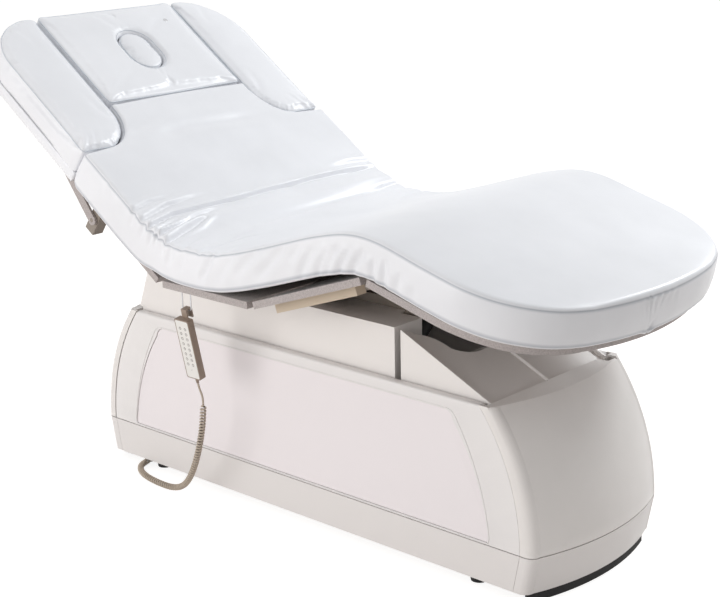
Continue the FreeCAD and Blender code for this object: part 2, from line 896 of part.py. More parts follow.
def power_inlet():
    body = new_body()
    x, level = -d.inlet_x, d.inlet_level
    long, tall = d.inlet_half_len, d.inlet_half_tall
    face = d.cab_half_wid
    pad(body, "XZ_Plane", face - d.inlet_depth, face + d.overrun, rounded_rectangle(
        x - long, x + long, level - tall, level + tall, d.inlet_shell))
    wide, high = long + d.inlet_flange, tall + d.inlet_flange * half_share
    pad(body, "XZ_Plane", face, face + d.inlet_flange_thick, rounded_rectangle(
        x - wide, x + wide, level - high, level + high, d.inlet_shell))
    bore_long, bore_tall = long - d.inlet_shell, tall - d.inlet_shell
    floor = face - d.inlet_bore_depth
    pocket(body, "XZ_Plane", floor, face + d.inlet_flange_thick + d.overrun, rectangle(
        x - bore_long, x + bore_long, level - bore_tall, level + bore_tall))
    for share in (-1, 0, 1):
        middle = x + d.blade_pitch * share
        pad(body, "XZ_Plane", floor - d.overrun, floor + d.blade_len, rectangle(
            middle - d.blade_half, middle + d.blade_half,
            level - d.blade_half_tall, level + d.blade_half_tall))
    return body


node("column_housing_head", column_housing(-d.column_head_x), on_cabinet)
node("column_housing_foot", column_housing(-d.column_foot_x), on_cabinet)
node("column_ram_head", column_ram(-d.column_head_x), on_cabinet)
node("column_ram_foot", column_ram(-d.column_foot_x), on_cabinet)
node("control_box", control_box(), on_cabinet)
node("power_inlet", power_inlet(), on_cabinet)


# Shroud that rises with the seat

def shroud():
    body = new_body()
    side, wall = d.shroud_half_wid, d.shroud_wall
    pad(body, "XZ_Plane", -side, side, [
        (-d.shroud_head_x, d.shroud_low), (d.shroud_foot_x, d.shroud_low),
        (d.shroud_foot_x, d.shroud_top), (-d.shroud_head_top, d.shroud_top),
        (-d.shroud_lip_x, d.shroud_lip_level), (-d.shroud_head_x, d.shroud_lip_level)])
    level = (d.shroud_lip_level.value + d.shroud_top.value) * half_share
    reach = -d.shroud_head_top.value
    round_edges(body, d.shroud_round, lambda edge: slanted_corner(edge, reach, level))
    inside = side - wall
    pocket(body, "XZ_Plane", -inside, inside, [
        (wall - d.shroud_head_x, d.shroud_low - d.overrun), (d.shroud_foot_x - wall, d.shroud_low - d.overrun),
        (d.shroud_foot_x - wall, d.shroud_top - wall), (wall - d.shroud_head_top, d.shroud_top - wall),
        (wall - d.shroud_head_x, d.shroud_lip_level)])
    end = d.shroud_foot_x + d.overrun
    pocket(body, "XZ_Plane", -d.bay_half, d.bay_half, rectangle(
        d.bay_x, end, d.bay_low, d.shroud_top + d.overrun))
    pocket(body, "XY_Plane", d.shroud_top - wall - d.overrun, d.shroud_top + d.overrun, rectangle(
        d.bay_slot_x, d.bay_x + d.overrun, -d.bay_slot_half, d.bay_slot_half))
    pocket(body, "XY_Plane", d.shroud_top - wall - d.overrun, d.shroud_top + d.overrun, rectangle(
        -d.lever_slot_x, d.lever_slot_len - d.lever_slot_x,
        d.back_drive_y - d.lever_slot_half, d.back_drive_y + d.lever_slot_half))
    hanger = d.hanger_slot_half
    pocket(body, "XY_Plane", d.shroud_top - wall - d.overrun, d.shroud_top + d.overrun, rectangle(
        d.back_drive_x - hanger, d.back_drive_x + hanger, d.back_drive_y - hanger, d.back_drive_y + hanger))
    return body


def slanted_corner(edge, reach, level):
    """True for the leaning corner edges at the head end of the shroud."""
    box = edge.BoundBox
    middle = (box.ZMin + box.ZMax) * half_share
    return abs(middle - level) < d.overrun.value and box.XMax < reach + d.overrun.value


node("shroud", shroud(), on_cabinet)


# Seat frame and its board

board_half = d.board_thick * half_share
board_low = d.hinge_level - board_half
board_top = d.hinge_level + board_half
frame_low = board_half + d.frame_deep


# Hinge leaves lie side by side on each axis: leaf 0 inside, leaf 2 outside.

def leaf_face(order):
    return d.frame_half_wid - d.knuckle_thick + d.leaf_step * order


def leaves(x, z, order, run, deep):
    """A pair of hinge leaves: a round eye, a plate under it and an arm along the tube."""
    rad = d.knuckle_rad
    side = 1 if run.value > 0 else -1
    under = z - board_half - d.seat_gap
    base = z - deep
    neck_x, neck_z = x - rad * side * leaf_neck_shares[0], z - rad * leaf_neck_shares[1]
    outline = [(x + rad * side, z), (x + rad * side, under), (x + run, under), (x + run, base),
               (x + (rad + d.knuckle_thick) * side, base), (neck_x, neck_z)]
    pieces = []
    for sign in (-1, 1):
        low, high = sorted((leaf_face(order) * sign, (leaf_face(order) + d.knuckle_thick) * sign),
                           key=lambda size: size.value)
        body = new_body()
        pad(body, "XZ_Plane", low, high, outline)
        pieces.append(body)
        pieces.append(bar(x, low, z, "y", rad, d.knuckle_thick))
    return pieces


def pin_hole(x, z, radius=None):
    return bar(x, -d.board_half_wid, z, "y", radius or d.pin_rad + d.pin_gap, d.board_half_wid * 2)


def hinge_pins(x, z, inner_order):
    """Headed pins through two neighbouring leaves on each side."""
    low = leaf_face(inner_order) - d.pin_head_thick
    out = leaf_face(inner_order + 1) + d.knuckle_thick + d.pin_gap
    pieces = []
    for sign in (-1, 1):
        if sign > 0:
            shank = bar(x, low, z, "y", d.pin_rad, out - low + d.pin_gap)
            head = bar(x, out, z, "y", d.pin_head_rad, d.pin_head_thick)
        else:
            shank = bar(x, -out - d.pin_gap, z, "y", d.pin_rad, out - low + d.pin_gap)
            head = bar(x, -out - d.pin_head_thick, z, "y", d.pin_head_rad, d.pin_head_thick)
        pieces.append(fused(shank, head))
    return pieces


def rails(x_low, x_high, outer, z_low, z_high):
    return mirrored_blocks(x_low, x_high, outer - d.frame_tube, outer, z_low, z_high)


def cross_tube(middle, half_len, half_wid, z_low, z_high):
    return block(middle - half_len, middle + half_len, -half_wid, half_wid, z_low, z_high)


outer_0 = leaf_face(0) + d.knuckle_thick
outer_1 = leaf_face(1) + d.knuckle_thick
outer_2 = leaf_face(2) + d.knuckle_thick
half_tube = d.frame_tube * half_share
link_level = d.hinge_level - d.link_drop


def drive_hanger(x, level, y, top, eye_half):
    """Two cheeks and a cross pin that hold a drive's rear eye."""
    cheek = eye_half + d.knuckle_gap
    out = cheek + d.knuckle_thick
    pieces = []
    for low, high in ((y - out, y - cheek), (y + cheek, y + out)):
        pieces.append(block(x - d.drive_eye_rad, x + d.drive_eye_rad, low, high, level, top + d.overrun))
        pieces.append(bar(x, low, level, "y", d.drive_eye_rad, d.knuckle_thick))
    pieces.append(bar(x, y - out, level, "y", d.drive_pin_rad, out * 2))
    return pieces


def seat_frame():
    low, high = d.shroud_top, board_low
    head, foot = -d.hip_x - d.knuckle_rad, d.valley_x + d.knuckle_rad
    pieces = rails(head, foot, outer_0, low, high)
    inside = outer_0 - d.overrun
    for middle in (d.seat_cross - d.hip_x, d.valley_x - d.frame_tube):
        pieces.append(cross_tube(middle, half_tube, inside, low, high))
    deep = d.hinge_level - low
    pieces += leaves(-d.hip_x, d.hinge_level, 0, d.frame_tube, deep)
    pieces += leaves(d.valley_x, d.hinge_level, 0, -d.frame_tube, deep)
    bar_low = d.link_bar_half - d.link_bar_wid * half_share
    bar_high = d.link_bar_half + d.link_bar_wid * half_share
    bar_top = low + d.link_bar_tall
    pieces += mirrored_blocks(d.valley_x - d.frame_tube, d.link_x, bar_low, bar_high, low, bar_top)
    for y in (bar_low, -bar_high):
        pieces.append(bar(d.link_x, y, link_level, "y", d.link_eye_rad, d.link_bar_wid))
    reach = d.link_y + d.link_thick * half_share + d.knuckle_gap
    for y in (bar_low, -reach):
        pieces.append(bar(d.link_x, y, link_level, "y", d.pin_rad, reach - bar_low))
    pieces.append(block(d.thigh_drive_x - half_tube, d.thigh_drive_x + half_tube, -bar_high, bar_high, low, bar_top))
    cheek_out = d.drive_eye_half + d.knuckle_gap + d.knuckle_thick
    pieces.append(block(d.back_drive_x - half_tube, d.back_drive_x + half_tube,
                        -bar_high, d.back_drive_y + cheek_out, low, bar_top))
    pieces += drive_hanger(d.back_drive_x, d.hinge_level - d.back_drive_drop, d.back_drive_y, low,
                           d.drive_eye_half)
    pieces += drive_hanger(d.thigh_drive_x, d.hinge_level - d.thigh_drive_drop, zero, low, d.thigh_eye_half)
    return cut(fused(*pieces), pin_hole(-d.hip_x, d.hinge_level), pin_hole(d.valley_x, d.hinge_level))


def flat_board(outline):
    body = new_body()
    pad(body, "XY_Plane", -board_half, board_half, *outline)
    return body


def seat_board():
    body = new_body()
    pad(body, "XY_Plane", board_low, board_top, rectangle(
        d.board_gap - d.hip_x, d.valley_x - d.board_gap, -d.board_half_wid, d.board_half_wid))
    return body


node("seat_frame", seat_frame(), on_cabinet)
node("seat_board", seat_board(), on_cabinet)
node("hinge_pins", grouped(*hinge_pins(-d.hip_x, d.hinge_level, 0),
                           *hinge_pins(d.valley_x, d.hinge_level, 0)), on_cabinet)


# Cushions: a side view carried across, trimmed by a crowned section and a plan

mat_low = board_half + d.seat_gap
mat_high = mat_low + d.mat_thick


def fold_reach(level, fold):
    """Distance of a fold's face from its hinge axis at a level above it."""
    return level * tangent(fold) + d.fold_gap / cosine(fold)


def crowned_section(half, base_level):
    low, shoulder = half - d.mat_edge_in, half - d.mat_side
    top = base_level + mat_high - d.mat_crown
    bow = d.mat_corner * corner_share
    side_bow = d.mat_corner
    flat = shoulder - d.mat_corner
    return [
        (-low, base_level + mat_low), (low, base_level + mat_low, side_bow),
        (shoulder, top - d.mat_corner, bow), (flat, top, d.mat_crown),
        (-flat, top, bow), (-shoulder, top - d.mat_corner, side_bow),
    ]


def trim(body, role, low, high, reach, outline):
    """Takes away all that lies outside an outline, within a rectangle."""
    pocket(body, role, low - d.overrun, high + d.overrun, reach, outline)


def cushion(x_low, x_high, side_view, base_level, plan=None):
    body = new_body()
    half = d.mat_half_wid
    pad(body, "XZ_Plane", -half, half, side_view)
    far = half + d.overrun * 2
    trim(body, "YZ_Plane", x_low, x_high, rectangle(
        -far, far, base_level + mat_low - d.overrun, base_level + mat_high + d.overrun),
        crowned_section(half, base_level))
    if plan:
        trim(body, "XY_Plane", mat_low, mat_high, rectangle(
            x_low - d.overrun, x_high + d.overrun, -far, far), plan)
    return body


def mattress_seat():
    hip_low, hip_high = fold_reach(mat_low, d.hip_fold), fold_reach(mat_high, d.hip_fold)
    valley_low, valley_high = fold_reach(mat_low, d.valley_fold), fold_reach(mat_high, d.valley_fold)
    base = d.hinge_level
    return cushion(-d.hip_x, d.valley_x, [
        (hip_low - d.hip_x, base + mat_low), (d.valley_x - valley_low, base + mat_low),
        (d.valley_x - valley_high, base + mat_high), (hip_high - d.hip_x, base + mat_high)], base)


def turned(x, z, angle, pivot_x):
    """A point of a turned section, seen from the cabinet."""
    return (pivot_x + x * cosine(angle) - z * sine(angle), d.hinge_level + x * sine(angle) + z * cosine(angle))


def bend_section(points):
    """Mattress stuffing in a fold, drawn at rest between two sections."""
    body = new_body()
    half = d.mat_half_wid - d.mat_side - d.mat_corner
    pad(body, "XZ_Plane", -half, half, points)
    return body


def hip_bend():
    low, high = mat_low + d.board_gap, mat_high - d.mat_corner
    gap = d.bend_gap / cosine(d.hip_fold)
    near_low, near_high = fold_reach(low, d.hip_fold) - gap, fold_reach(high, d.hip_fold) - gap
    angle = -d.back_angle
    back_low = turned(-near_low, low, angle, -d.hip_x)
    back_high = turned(-near_high, high, angle, -d.hip_x)
    return bend_section([
        (near_low - d.hip_x, d.hinge_level + low), (near_high - d.hip_x, d.hinge_level + high),
        back_high, back_low])


def valley_bend():
    gap = d.bend_gap / cosine(d.valley_fold)
    low, high = mat_low + d.board_gap, mat_high - d.mat_corner
    near_low, near_high = fold_reach(low, d.valley_fold) - gap, fold_reach(high, d.valley_fold) - gap
    thigh_low = turned(near_low, low, d.thigh_angle, d.valley_x)
    thigh_high = turned(near_high, high, d.thigh_angle, d.valley_x)
    return bend_section([
        (d.valley_x - near_low, d.hinge_level + low), thigh_low, thigh_high,
        (d.valley_x - near_high, d.hinge_level + high)])


node("mattress_seat", mattress_seat(), on_cabinet)
node("mattress_hip_bend", hip_bend(), on_cabinet)
node("mattress_valley_bend", valley_bend(), on_cabinet)


# Back section, drawn flat with the back running to -X from its hinge

arm_inner_y = d.head_half_wid + (d.mat_half_wid - d.head_half_wid) * arm_inner_share


def back_plan(inset, end):
    """Half-width steps in to a tongue between the arm rests, with swept corners."""
    wide, slim = d.mat_half_wid + d.overrun - inset, d.head_half_wid - inset
    step, inner_s, inner_y = d.arm_start - inset, d.arm_inner_s - inset, arm_inner_y - inset
    start = zero
    return [
        (-end, -slim), (-inner_s, -slim, -d.arm_inner_bow), (-step, -inner_y), (-step, -wide),
        (start, -wide), (start, wide), (-step, wide), (-step, inner_y, -d.arm_inner_bow),
        (-inner_s, slim), (-end, slim),
    ]


def mattress_back():
    low, high = fold_reach(mat_low, d.hip_fold), fold_reach(mat_high, d.hip_fold)
    end = d.head_start - d.cushion_gap * half_share
    plan = back_plan(zero, end)
    return cushion(-end, zero, [
        (-end, mat_low), (-low, mat_low), (-high, mat_high), (-end, mat_high)], zero, plan)


def board_rect(x_low, x_high, half):
    return rectangle(x_low, x_high, -half, half)


def back_board():
    body = new_body()
    wide, slim = d.board_half_wid, d.head_half_wid - d.board_in
    step, end = d.arm_start - d.board_in, d.head_start - d.cushion_gap - d.board_gap
    inner_s, inner_y = d.arm_inner_s - d.board_in, arm_inner_y - d.board_in
    pad(body, "XY_Plane", -board_half, board_half, [
        (-end, -slim), (-inner_s, -slim, -d.arm_inner_bow), (-step, -inner_y), (-step, -wide),
        (-d.board_gap, -wide), (-d.board_gap, wide), (-step, wide), (-step, inner_y, -d.arm_inner_bow),
        (-inner_s, slim), (-end, slim)])
    return body


head_pivot = d.head_start - d.cushion_gap


def cheeks(x, z, y_middle, half_gap, rad, foot):
    """Two lug plates either side of an eye, from the eye to a tube's corner."""
    pieces = []
    for low in (y_middle - half_gap - d.knuckle_thick, y_middle + half_gap):
        pieces.append(bar(x, low, z, "y", rad, d.knuckle_thick))
        body = new_body()
        pad(body, "XZ_Plane", low, low + d.knuckle_thick, foot)
        pieces.append(body)
    return pieces


def back_frame():
    end = head_pivot - d.rail_set
    pieces = rails(-end, -d.rail_set, outer_1, -frame_low, -board_half)
    inside = outer_1 - d.overrun
    lug_x, lug_z = -d.back_lug_s, -d.back_lug_n
    tube_x = -d.rail_set - d.frame_tube - half_tube
    for middle in (tube_x, -d.arm_start, half_tube - end):
        pieces.append(cross_tube(middle, half_tube, inside, -frame_low, -board_half))
    out = d.post_y + d.post_half
    pieces.append(cross_tube(-d.post_s, half_tube, out, -frame_low, -board_half))
    pieces += leaves(zero, zero, 1, -(d.rail_set + d.frame_tube), frame_low)
    pieces += leaves(-head_pivot, zero, 1, d.rail_set + d.frame_tube, frame_low)
    rad = d.drive_eye_rad
    pieces += cheeks(lug_x, lug_z, d.back_drive_y, d.drive_eye_half + d.knuckle_gap, rad, [
        (lug_x - rad, lug_z), (lug_x + rad, lug_z),
        (tube_x + half_tube, -board_half - d.seat_gap), (tube_x - half_tube, -board_half - d.seat_gap)])
    eye = bar(lug_x, d.back_drive_y - d.drive_fork_half - d.overrun, lug_z, "y", d.drive_pin_rad,
              (d.drive_fork_half + d.overrun) * 2)
    return cut(fused(*pieces), pin_hole(zero, zero), pin_hole(-head_pivot, zero), eye)


def arm_posts():
    posts = []
    for y in (-d.post_y, d.post_y):
        half = d.post_half
        post = block(-d.post_s - half, half - d.post_s, y - half, y + half, -d.post_low, -frame_low)
        pin = bar(-d.post_s, y - half - d.ear_thick - d.knuckle_gap, -d.arm_pivot_drop, "y",
                  d.pin_rad, (half + d.ear_thick + d.knuckle_gap) * 2)
        posts.append(fused(post, pin))
    return grouped(*posts)


node("back_frame", back_frame(), on_back)
node("back_board", back_board(), on_back)
node("arm_posts", arm_posts(), on_back)
node("headrest_pins", grouped(*hinge_pins(-head_pivot, zero, 1)), on_back)
node("mattress_back", mattress_back(), on_back)


# Headrest with its face opening and plug

def stadium(middle, half_len, half_wid):
    end_bow = half_wid * oval_end_share
    flat = half_len - end_bow
    return [
        (middle - flat, -half_wid), (middle + flat, -half_wid, end_bow),
        (middle + flat, half_wid), (middle - flat, half_wid, end_bow),
    ]


def headrest_cushion():
    body = new_body()
    start = d.head_start + d.cushion_gap * half_share
    half = d.head_half_wid - d.cushion_gap * half_share
    pad(body, "XY_Plane", mat_low, mat_high, rounded_rectangle(-d.bed_end, -start, -half, half, d.head_corner))
    far = half + d.overrun
    section = crowned_section(half + d.mat_side, zero)
    trim(body, "YZ_Plane", -d.bed_end, -start, rectangle(
        -far - d.mat_side, far + d.mat_side, mat_low - d.overrun, mat_high + d.overrun), section)
    pocket(body, "XY_Plane", mat_low - d.overrun, mat_high + d.overrun, stadium(
        -d.face_s, d.face_half_len, d.face_half_wid))
    return body


def face_plug():
    body = new_body()
    pad(body, "XY_Plane", mat_low, mat_high - d.plug_sink, stadium(
        -d.face_s, d.face_half_len - d.face_gap, d.face_half_wid - d.face_gap))
    top = (mat_high - d.plug_sink).value
    round_edges(body, d.mat_corner * half_share, lambda edge: edge_on(edge, "z", top))
    return body


def headrest_board():
    board = new_body()
    half = d.head_half_wid - d.board_in
    end, start = d.bed_end - d.board_in, head_pivot + d.board_gap
    pad(board, "XY_Plane", -board_half, board_half, rounded_rectangle(-end, -start, -half, half, d.head_corner),
        stadium(-d.face_s, d.face_half_len - d.face_ledge, d.face_half_wid - d.face_ledge))
    return board


def headrest_frame():
    start = head_pivot + d.rail_set_far
    end = d.bed_end - d.rail_set_far
    pieces = rails(-end, -start, outer_2, -frame_low, -board_half)
    inside = outer_2 - d.overrun
    for middle in (-start - half_tube, half_tube - end):
        pieces.append(cross_tube(middle, half_tube, inside, -frame_low, -board_half))
    pieces += leaves(-head_pivot, zero, 2, -(d.rail_set_far + d.frame_tube), frame_low)
    return cut(fused(*pieces), pin_hole(-head_pivot, zero))


node("headrest_frame", headrest_frame(), on_back)
node("headrest_board", headrest_board(), on_back)
node("headrest_cushion", headrest_cushion(), on_back)
node("face_plug", face_plug(), on_back)


# Arm rests beside the headrest, each on a bracket that swings on its post

def arm_plan(sign, inset):
    """Plan of an arm rest: swept inner foot corner and large outer head corner."""
    inner = d.head_half_wid + d.cushion_gap * half_share + inset
    outer = d.mat_half_wid - d.mat_side - inset
    foot, head = d.arm_start + d.cushion_gap + inset, d.bed_end - inset
    points = [
        (-head, inner), (-(d.arm_inner_s + d.cushion_gap), inner, d.arm_inner_bow),
        (-foot, arm_inner_y), (-foot, outer), (-d.arm_corner_s, outer, d.arm_corner_bow),
        (-head, inner + (outer - inner) * arm_corner_share),
    ]
    if sign > 0:
        return points
    count = len(points)
    flipped = []
    for index in range(count):
        point = points[count - 1 - index]
        before = points[count - 2 - index]
        flipped.append((point[0], -point[1], before[2]) if len(before) > 2 else (point[0], -point[1]))
    return flipped


def armrest_cushion(sign):
    body = new_body()
    pad(body, "XY_Plane", mat_low, mat_high - d.mat_crown, arm_plan(-1, zero))
    top = (mat_high - d.mat_crown).value
    round_edges(body, d.mat_corner, lambda edge: edge_on(edge, "z", top))
    if sign < 0:
        return body
    other = doc.addObject("Part::Mirroring", "Mirrored")
    other.Source = body
    other.Normal = Vector(0, 1, 0)
    return other


def armrest_tray(sign):
    board = new_body()
    pad(board, "XY_Plane", -board_half, board_half, arm_plan(sign, d.board_in))
    y = d.post_y * sign
    out = d.post_half + d.knuckle_gap + d.ear_thick
    pieces = [board, block(-d.arm_boss_s - d.arm_boss_half, d.arm_boss_half - d.arm_boss_s, y - out, y + out,
                           -board_half - d.arm_boss_deep, d.overrun - board_half)]
    rad = d.ear_rad
    foot_x, foot_z = -d.arm_boss_s, -board_half - d.arm_boss_deep * half_share
    eye_x, eye_z = -d.post_s, -d.arm_pivot_drop
    for low in (y - out, y + out - d.ear_thick):
        pieces.append(bar(eye_x, low, eye_z, "y", rad, d.ear_thick))
        plate = new_body()
        pad(plate, "XZ_Plane", low, low + d.ear_thick, [
            (foot_x, foot_z - rad), (eye_x, eye_z - rad), (eye_x, eye_z + rad), (foot_x, foot_z + rad)])
        pieces.append(plate)
    hole = bar(eye_x, y - out - d.overrun, eye_z, "y", d.pin_rad + d.pin_gap, (out + d.overrun) * 2)
    return cut(fused(*pieces), hole)


for side_name, side_sign in (("near", -1), ("far", 1)):
    node(f"armrest_tray_{side_name}", armrest_tray(side_sign), on_back)
    node(f"armrest_cushion_{side_name}", armrest_cushion(side_sign), on_back)


# Thigh section, drawn flat with the thigh running to +X from its hinge

def thigh_frame():
    end = d.thigh_len - d.rail_set
    pieces = rails(d.rail_set, end, outer_1, -frame_low, -board_half)
    strap_low = -board_half - d.strap_thick
    inside = outer_1 - d.overrun
    lug_x, lug_z = d.thigh_lug_s, -d.thigh_lug_n
    strap_half = d.strap_wid * half_share
    for middle in (d.rail_set + strap_half, lug_x + strap_half):
        pieces.append(cross_tube(middle, strap_half, inside, strap_low, -board_half))
    pieces += leaves(zero, zero, 1, d.rail_set + d.frame_tube, frame_low)
    pieces += leaves(d.thigh_len, zero, 1, -(d.rail_set + d.frame_tube), frame_low)
    rad = d.drive_eye_rad
    pieces += cheeks(lug_x, lug_z, zero, d.drive_eye_half + d.knuckle_gap, rad, [
        (lug_x - rad, lug_z), (lug_x + rad, lug_z),
        (lug_x + strap_half, strap_low + d.overrun), (lug_x + rad, strap_low + d.overrun)])
    out = d.drive_eye_half + d.knuckle_gap + d.knuckle_thick
    pieces.append(bar(lug_x, -out, lug_z, "y", d.drive_pin_rad, out * 2))
    return cut(fused(*pieces), pin_hole(zero, zero), pin_hole(d.thigh_len, zero))


def thigh_channels():
    """Folded channels under the board's edges, open to the inside."""
    channels = []
    wall = d.channel_wall
    for sign in (-1, 1):
        outer, inner = d.channel_y * sign, (d.channel_y - d.channel_wid) * sign
        skin = (d.channel_y - wall) * sign
        low, high = sorted((outer, inner), key=lambda size: size.value)
        hollow = sorted((skin, inner - d.overrun * sign), key=lambda size: size.value)
        end = d.channel_start + d.channel_len
        whole = block(d.channel_start, end, low, high, -board_half - d.channel_deep, -board_half)
        void = block(d.channel_start + wall, end - wall, hollow[0], hollow[1],
                     wall - board_half - d.channel_deep, -board_half - wall)
        channels.append(cut(whole, void))
    return grouped(*channels)


def thigh_board():
    return flat_board([board_rect(d.board_gap, d.thigh_len - d.board_gap, d.board_half_wid)])


def mattress_thigh():
    low, high = fold_reach(mat_low, d.valley_fold), fold_reach(mat_high, d.valley_fold)
    end = d.thigh_len - d.fold_gap
    return cushion(zero, end, [(low, mat_low), (end, mat_low), (end, mat_high), (high, mat_high)], zero)


def knee_bend():
    """Stuffing that fills the open wedge over the knee at rest."""
    fold = d.thigh_angle + d.leg_angle
    low, high = mat_low + d.board_gap, mat_high - d.mat_corner
    shift = d.fold_gap - d.bend_gap
    near, far = d.thigh_len - shift, d.thigh_len + shift * cosine(fold)
    drop = shift * sine(fold)
    return bend_section([
        (near, low), (far + low * sine(fold), low * cosine(fold) - drop),
        (far + high * sine(fold), high * cosine(fold) - drop), (near, high)])


node("thigh_frame", thigh_frame(), on_thigh)
node("thigh_board", thigh_board(), on_thigh)
node("thigh_channels", thigh_channels(), on_thigh)
node("knee_pins", grouped(*hinge_pins(d.thigh_len, zero, 1)), on_thigh)
node("mattress_thigh", mattress_thigh(), on_thigh)
node("mattress_knee_bend", knee_bend(), on_thigh)


# Leg section, drawn flat with the leg running to +X from the knee

def leg_plan(start, inset):
    half = d.mat_half_wid + d.overrun - inset
    middle, end = d.mat_half_wid * leg_mid_share - inset, d.mat_half_wid * leg_end_share - inset
    tip = d.leg_len - inset
    end_s, middle_s = d.leg_end_s - inset, d.leg_mid_s
    return [
        (start, -half), (d.leg_straight, -half, d.leg_bow_a), (middle_s, -middle, d.leg_bow_b),
        (end_s, -end, tip - end_s), (end_s, end, d.leg_bow_b), (middle_s, middle, d.leg_bow_a),
        (d.leg_straight, half), (start, half),
    ]


def leg_board():
    return flat_board([leg_plan(d.board_gap, d.leg_board_in + d.overrun)])


def leg_frame():
    end = d.leg_straight + d.rail_set_far + d.frame_tube
    pieces = rails(d.rail_set_far, end, outer_2, -frame_low, -board_half)
    inside = outer_2 - d.overrun
    lug_x, lug_z = d.link_s, -d.link_n
    tube_x = lug_x + d.frame_tube + half_tube
    for middle in (tube_x, end - half_tube):
        pieces.append(cross_tube(middle, half_tube, inside, -frame_low, -board_half))
    pieces += leaves(zero, zero, 2, d.rail_set_far + d.frame_tube, frame_low)
    low, high = d.link_bar_half - d.link_bar_wid * half_share, d.link_bar_half + d.link_bar_wid * half_share
    rad = d.link_eye_rad
    pieces += mirrored_blocks(lug_x, tube_x, low, high, lug_z - rad, lug_z + rad - d.seat_gap)
    reach = d.link_y + d.link_thick * half_share + d.knuckle_gap
    for y in (low, -high):
        pieces.append(bar(lug_x, y, lug_z, "y", rad, d.link_bar_wid))
    for y in (low, -reach):
        pieces.append(bar(lug_x, y, lug_z, "y", d.pin_rad, reach - low))
    return cut(fused(*pieces), pin_hole(zero, zero))


def mattress_leg():
    start, end = d.fold_gap, d.leg_len
    return cushion(start, end, rectangle(start, end, mat_low, mat_high), zero, leg_plan(zero, zero))


node("leg_frame", leg_frame(), on_leg)
node("leg_board", leg_board(), on_leg)
node("mattress_leg", mattress_leg(), on_leg)


# Links that set the leg section's tilt, from the seat frame to the leg frame

def seen_lug(pivot_x, pivot_z, x, z, angle):
    """Where a section's lug stands, seen from the cabinet."""
    return (pivot_x + x * cosine(angle) - z * sine(angle), pivot_z + x * sine(angle) + z * cosine(angle))


def leg_links():
    foot = seen_lug(knee_x, knee_level, d.link_s, -d.link_n, -d.leg_angle)
    run, rise = foot[0] - d.link_x, foot[1] - link_level
    length = root(run * run + rise * rise)
    tall, half = d.link_half_tall, d.link_thick * half_share
    open_rad = d.pin_rad + d.link_open_gap
    eye = open_rad + d.link_thick * half_share
    links = []
    for y in (-d.link_y, d.link_y):
        body = new_body()
        pad(body, "XZ_Plane", y - half, y + half, rectangle(zero, length, -tall, tall))
        start = bar(zero, y - half, zero, "y", tall, d.link_thick)
        end = bar(length, y - half, zero, "y", eye, d.link_thick)
        holes = (bar(zero, y - half - d.overrun, zero, "y", d.pin_rad + d.pin_gap, d.link_thick + d.overrun * 2),
                 bar(length, y - half - d.overrun, zero, "y", open_rad, d.link_thick + d.overrun * 2))
        links.append(cut(fused(body, start, end), *holes))
    angle = heading(rise, run)
    piece = grouped(*links)
    return place(piece, d.cab_x + d.link_x, zero, link_level, leg_axis, angle)


node("leg_links", leg_links())


# Screw drives: a housing with its motor on a rear eye, and a rod with a front eye

def drive_housing(tube_len, motor_side, eye_half):
    eye = bar(zero, -eye_half, zero, "y", d.drive_eye_rad, eye_half * 2)
    neck = block(zero, d.drive_tube_start + d.overrun, -eye_half, eye_half, -d.drive_eye_rad, d.drive_eye_rad)
    tube = bar(d.drive_tube_start, zero, zero, "x", d.drive_rad, tube_len - d.drive_tube_start)
    low, high = sorted((d.motor_tall * motor_side, zero), key=lambda size: size.value)
    motor = block(d.motor_back, d.motor_back + d.motor_len, -d.motor_half, d.motor_half, low, high)
    bore = bar(d.drive_bore_start, zero, zero, "x", d.drive_rod_rad + d.drive_bore_gap, tube_len)
    hole = bar(zero, -eye_half - d.overrun, zero, "y", d.drive_pin_rad + d.pin_gap, (eye_half + d.overrun) * 2)
    return cut(fused(eye, neck, tube, motor), bore, hole)


def drive_rod(start, length, hole_rad):
    stem = bar(start, zero, zero, "x", d.drive_rod_rad, length - start)
    eye = bar(length, -d.drive_eye_half, zero, "y", d.drive_eye_rad, d.drive_eye_half * 2)
    hole = bar(length, -d.drive_eye_half - d.overrun, zero, "y", hole_rad, (d.drive_eye_half + d.overrun) * 2)
    return cut(fused(stem, eye), hole)


def drive_pair(name, x, drop, y, lug, tube_len, rod_start, motor_side, eye_half, hole_rad):
    level = d.hinge_level - drop
    run, rise = lug[0] - x, lug[1] - level
    length = root(run * run + rise * rise)
    angle = heading(rise, run)

    def on_drive(piece):
        place(piece, d.cab_x + x, y, level, leg_axis, angle)

    node(f"{name}_drive_housing", drive_housing(tube_len, motor_side, eye_half), on_drive)
    node(f"{name}_drive_rod", drive_rod(rod_start, length, hole_rad), on_drive)


back_lug = seen_lug(-d.hip_x, d.hinge_level, -d.back_lug_s, -d.back_lug_n, -d.back_angle)
thigh_lug = seen_lug(d.valley_x, d.hinge_level, d.thigh_lug_s, -d.thigh_lug_n, d.thigh_angle)
drive_pair("back", d.back_drive_x, d.back_drive_drop, d.back_drive_y, back_lug,
           d.back_tube_len, d.drive_rod_start, 1, d.drive_eye_half, d.drive_pin_rad + d.pin_gap)
drive_pair("thigh", d.thigh_drive_x, d.thigh_drive_drop, zero, thigh_lug,
           d.thigh_tube_len, d.thigh_rod_start, -1, d.thigh_eye_half, d.drive_pin_rad + d.open_gap)


# Hand control, drawn upright with its face at y = 0 and its top at z = 0

def on_hand(piece):
    place(piece, d.cab_x - d.hand_x, -d.hand_y, d.hand_top, Vector(1, 0, 0), d.hand_lean)


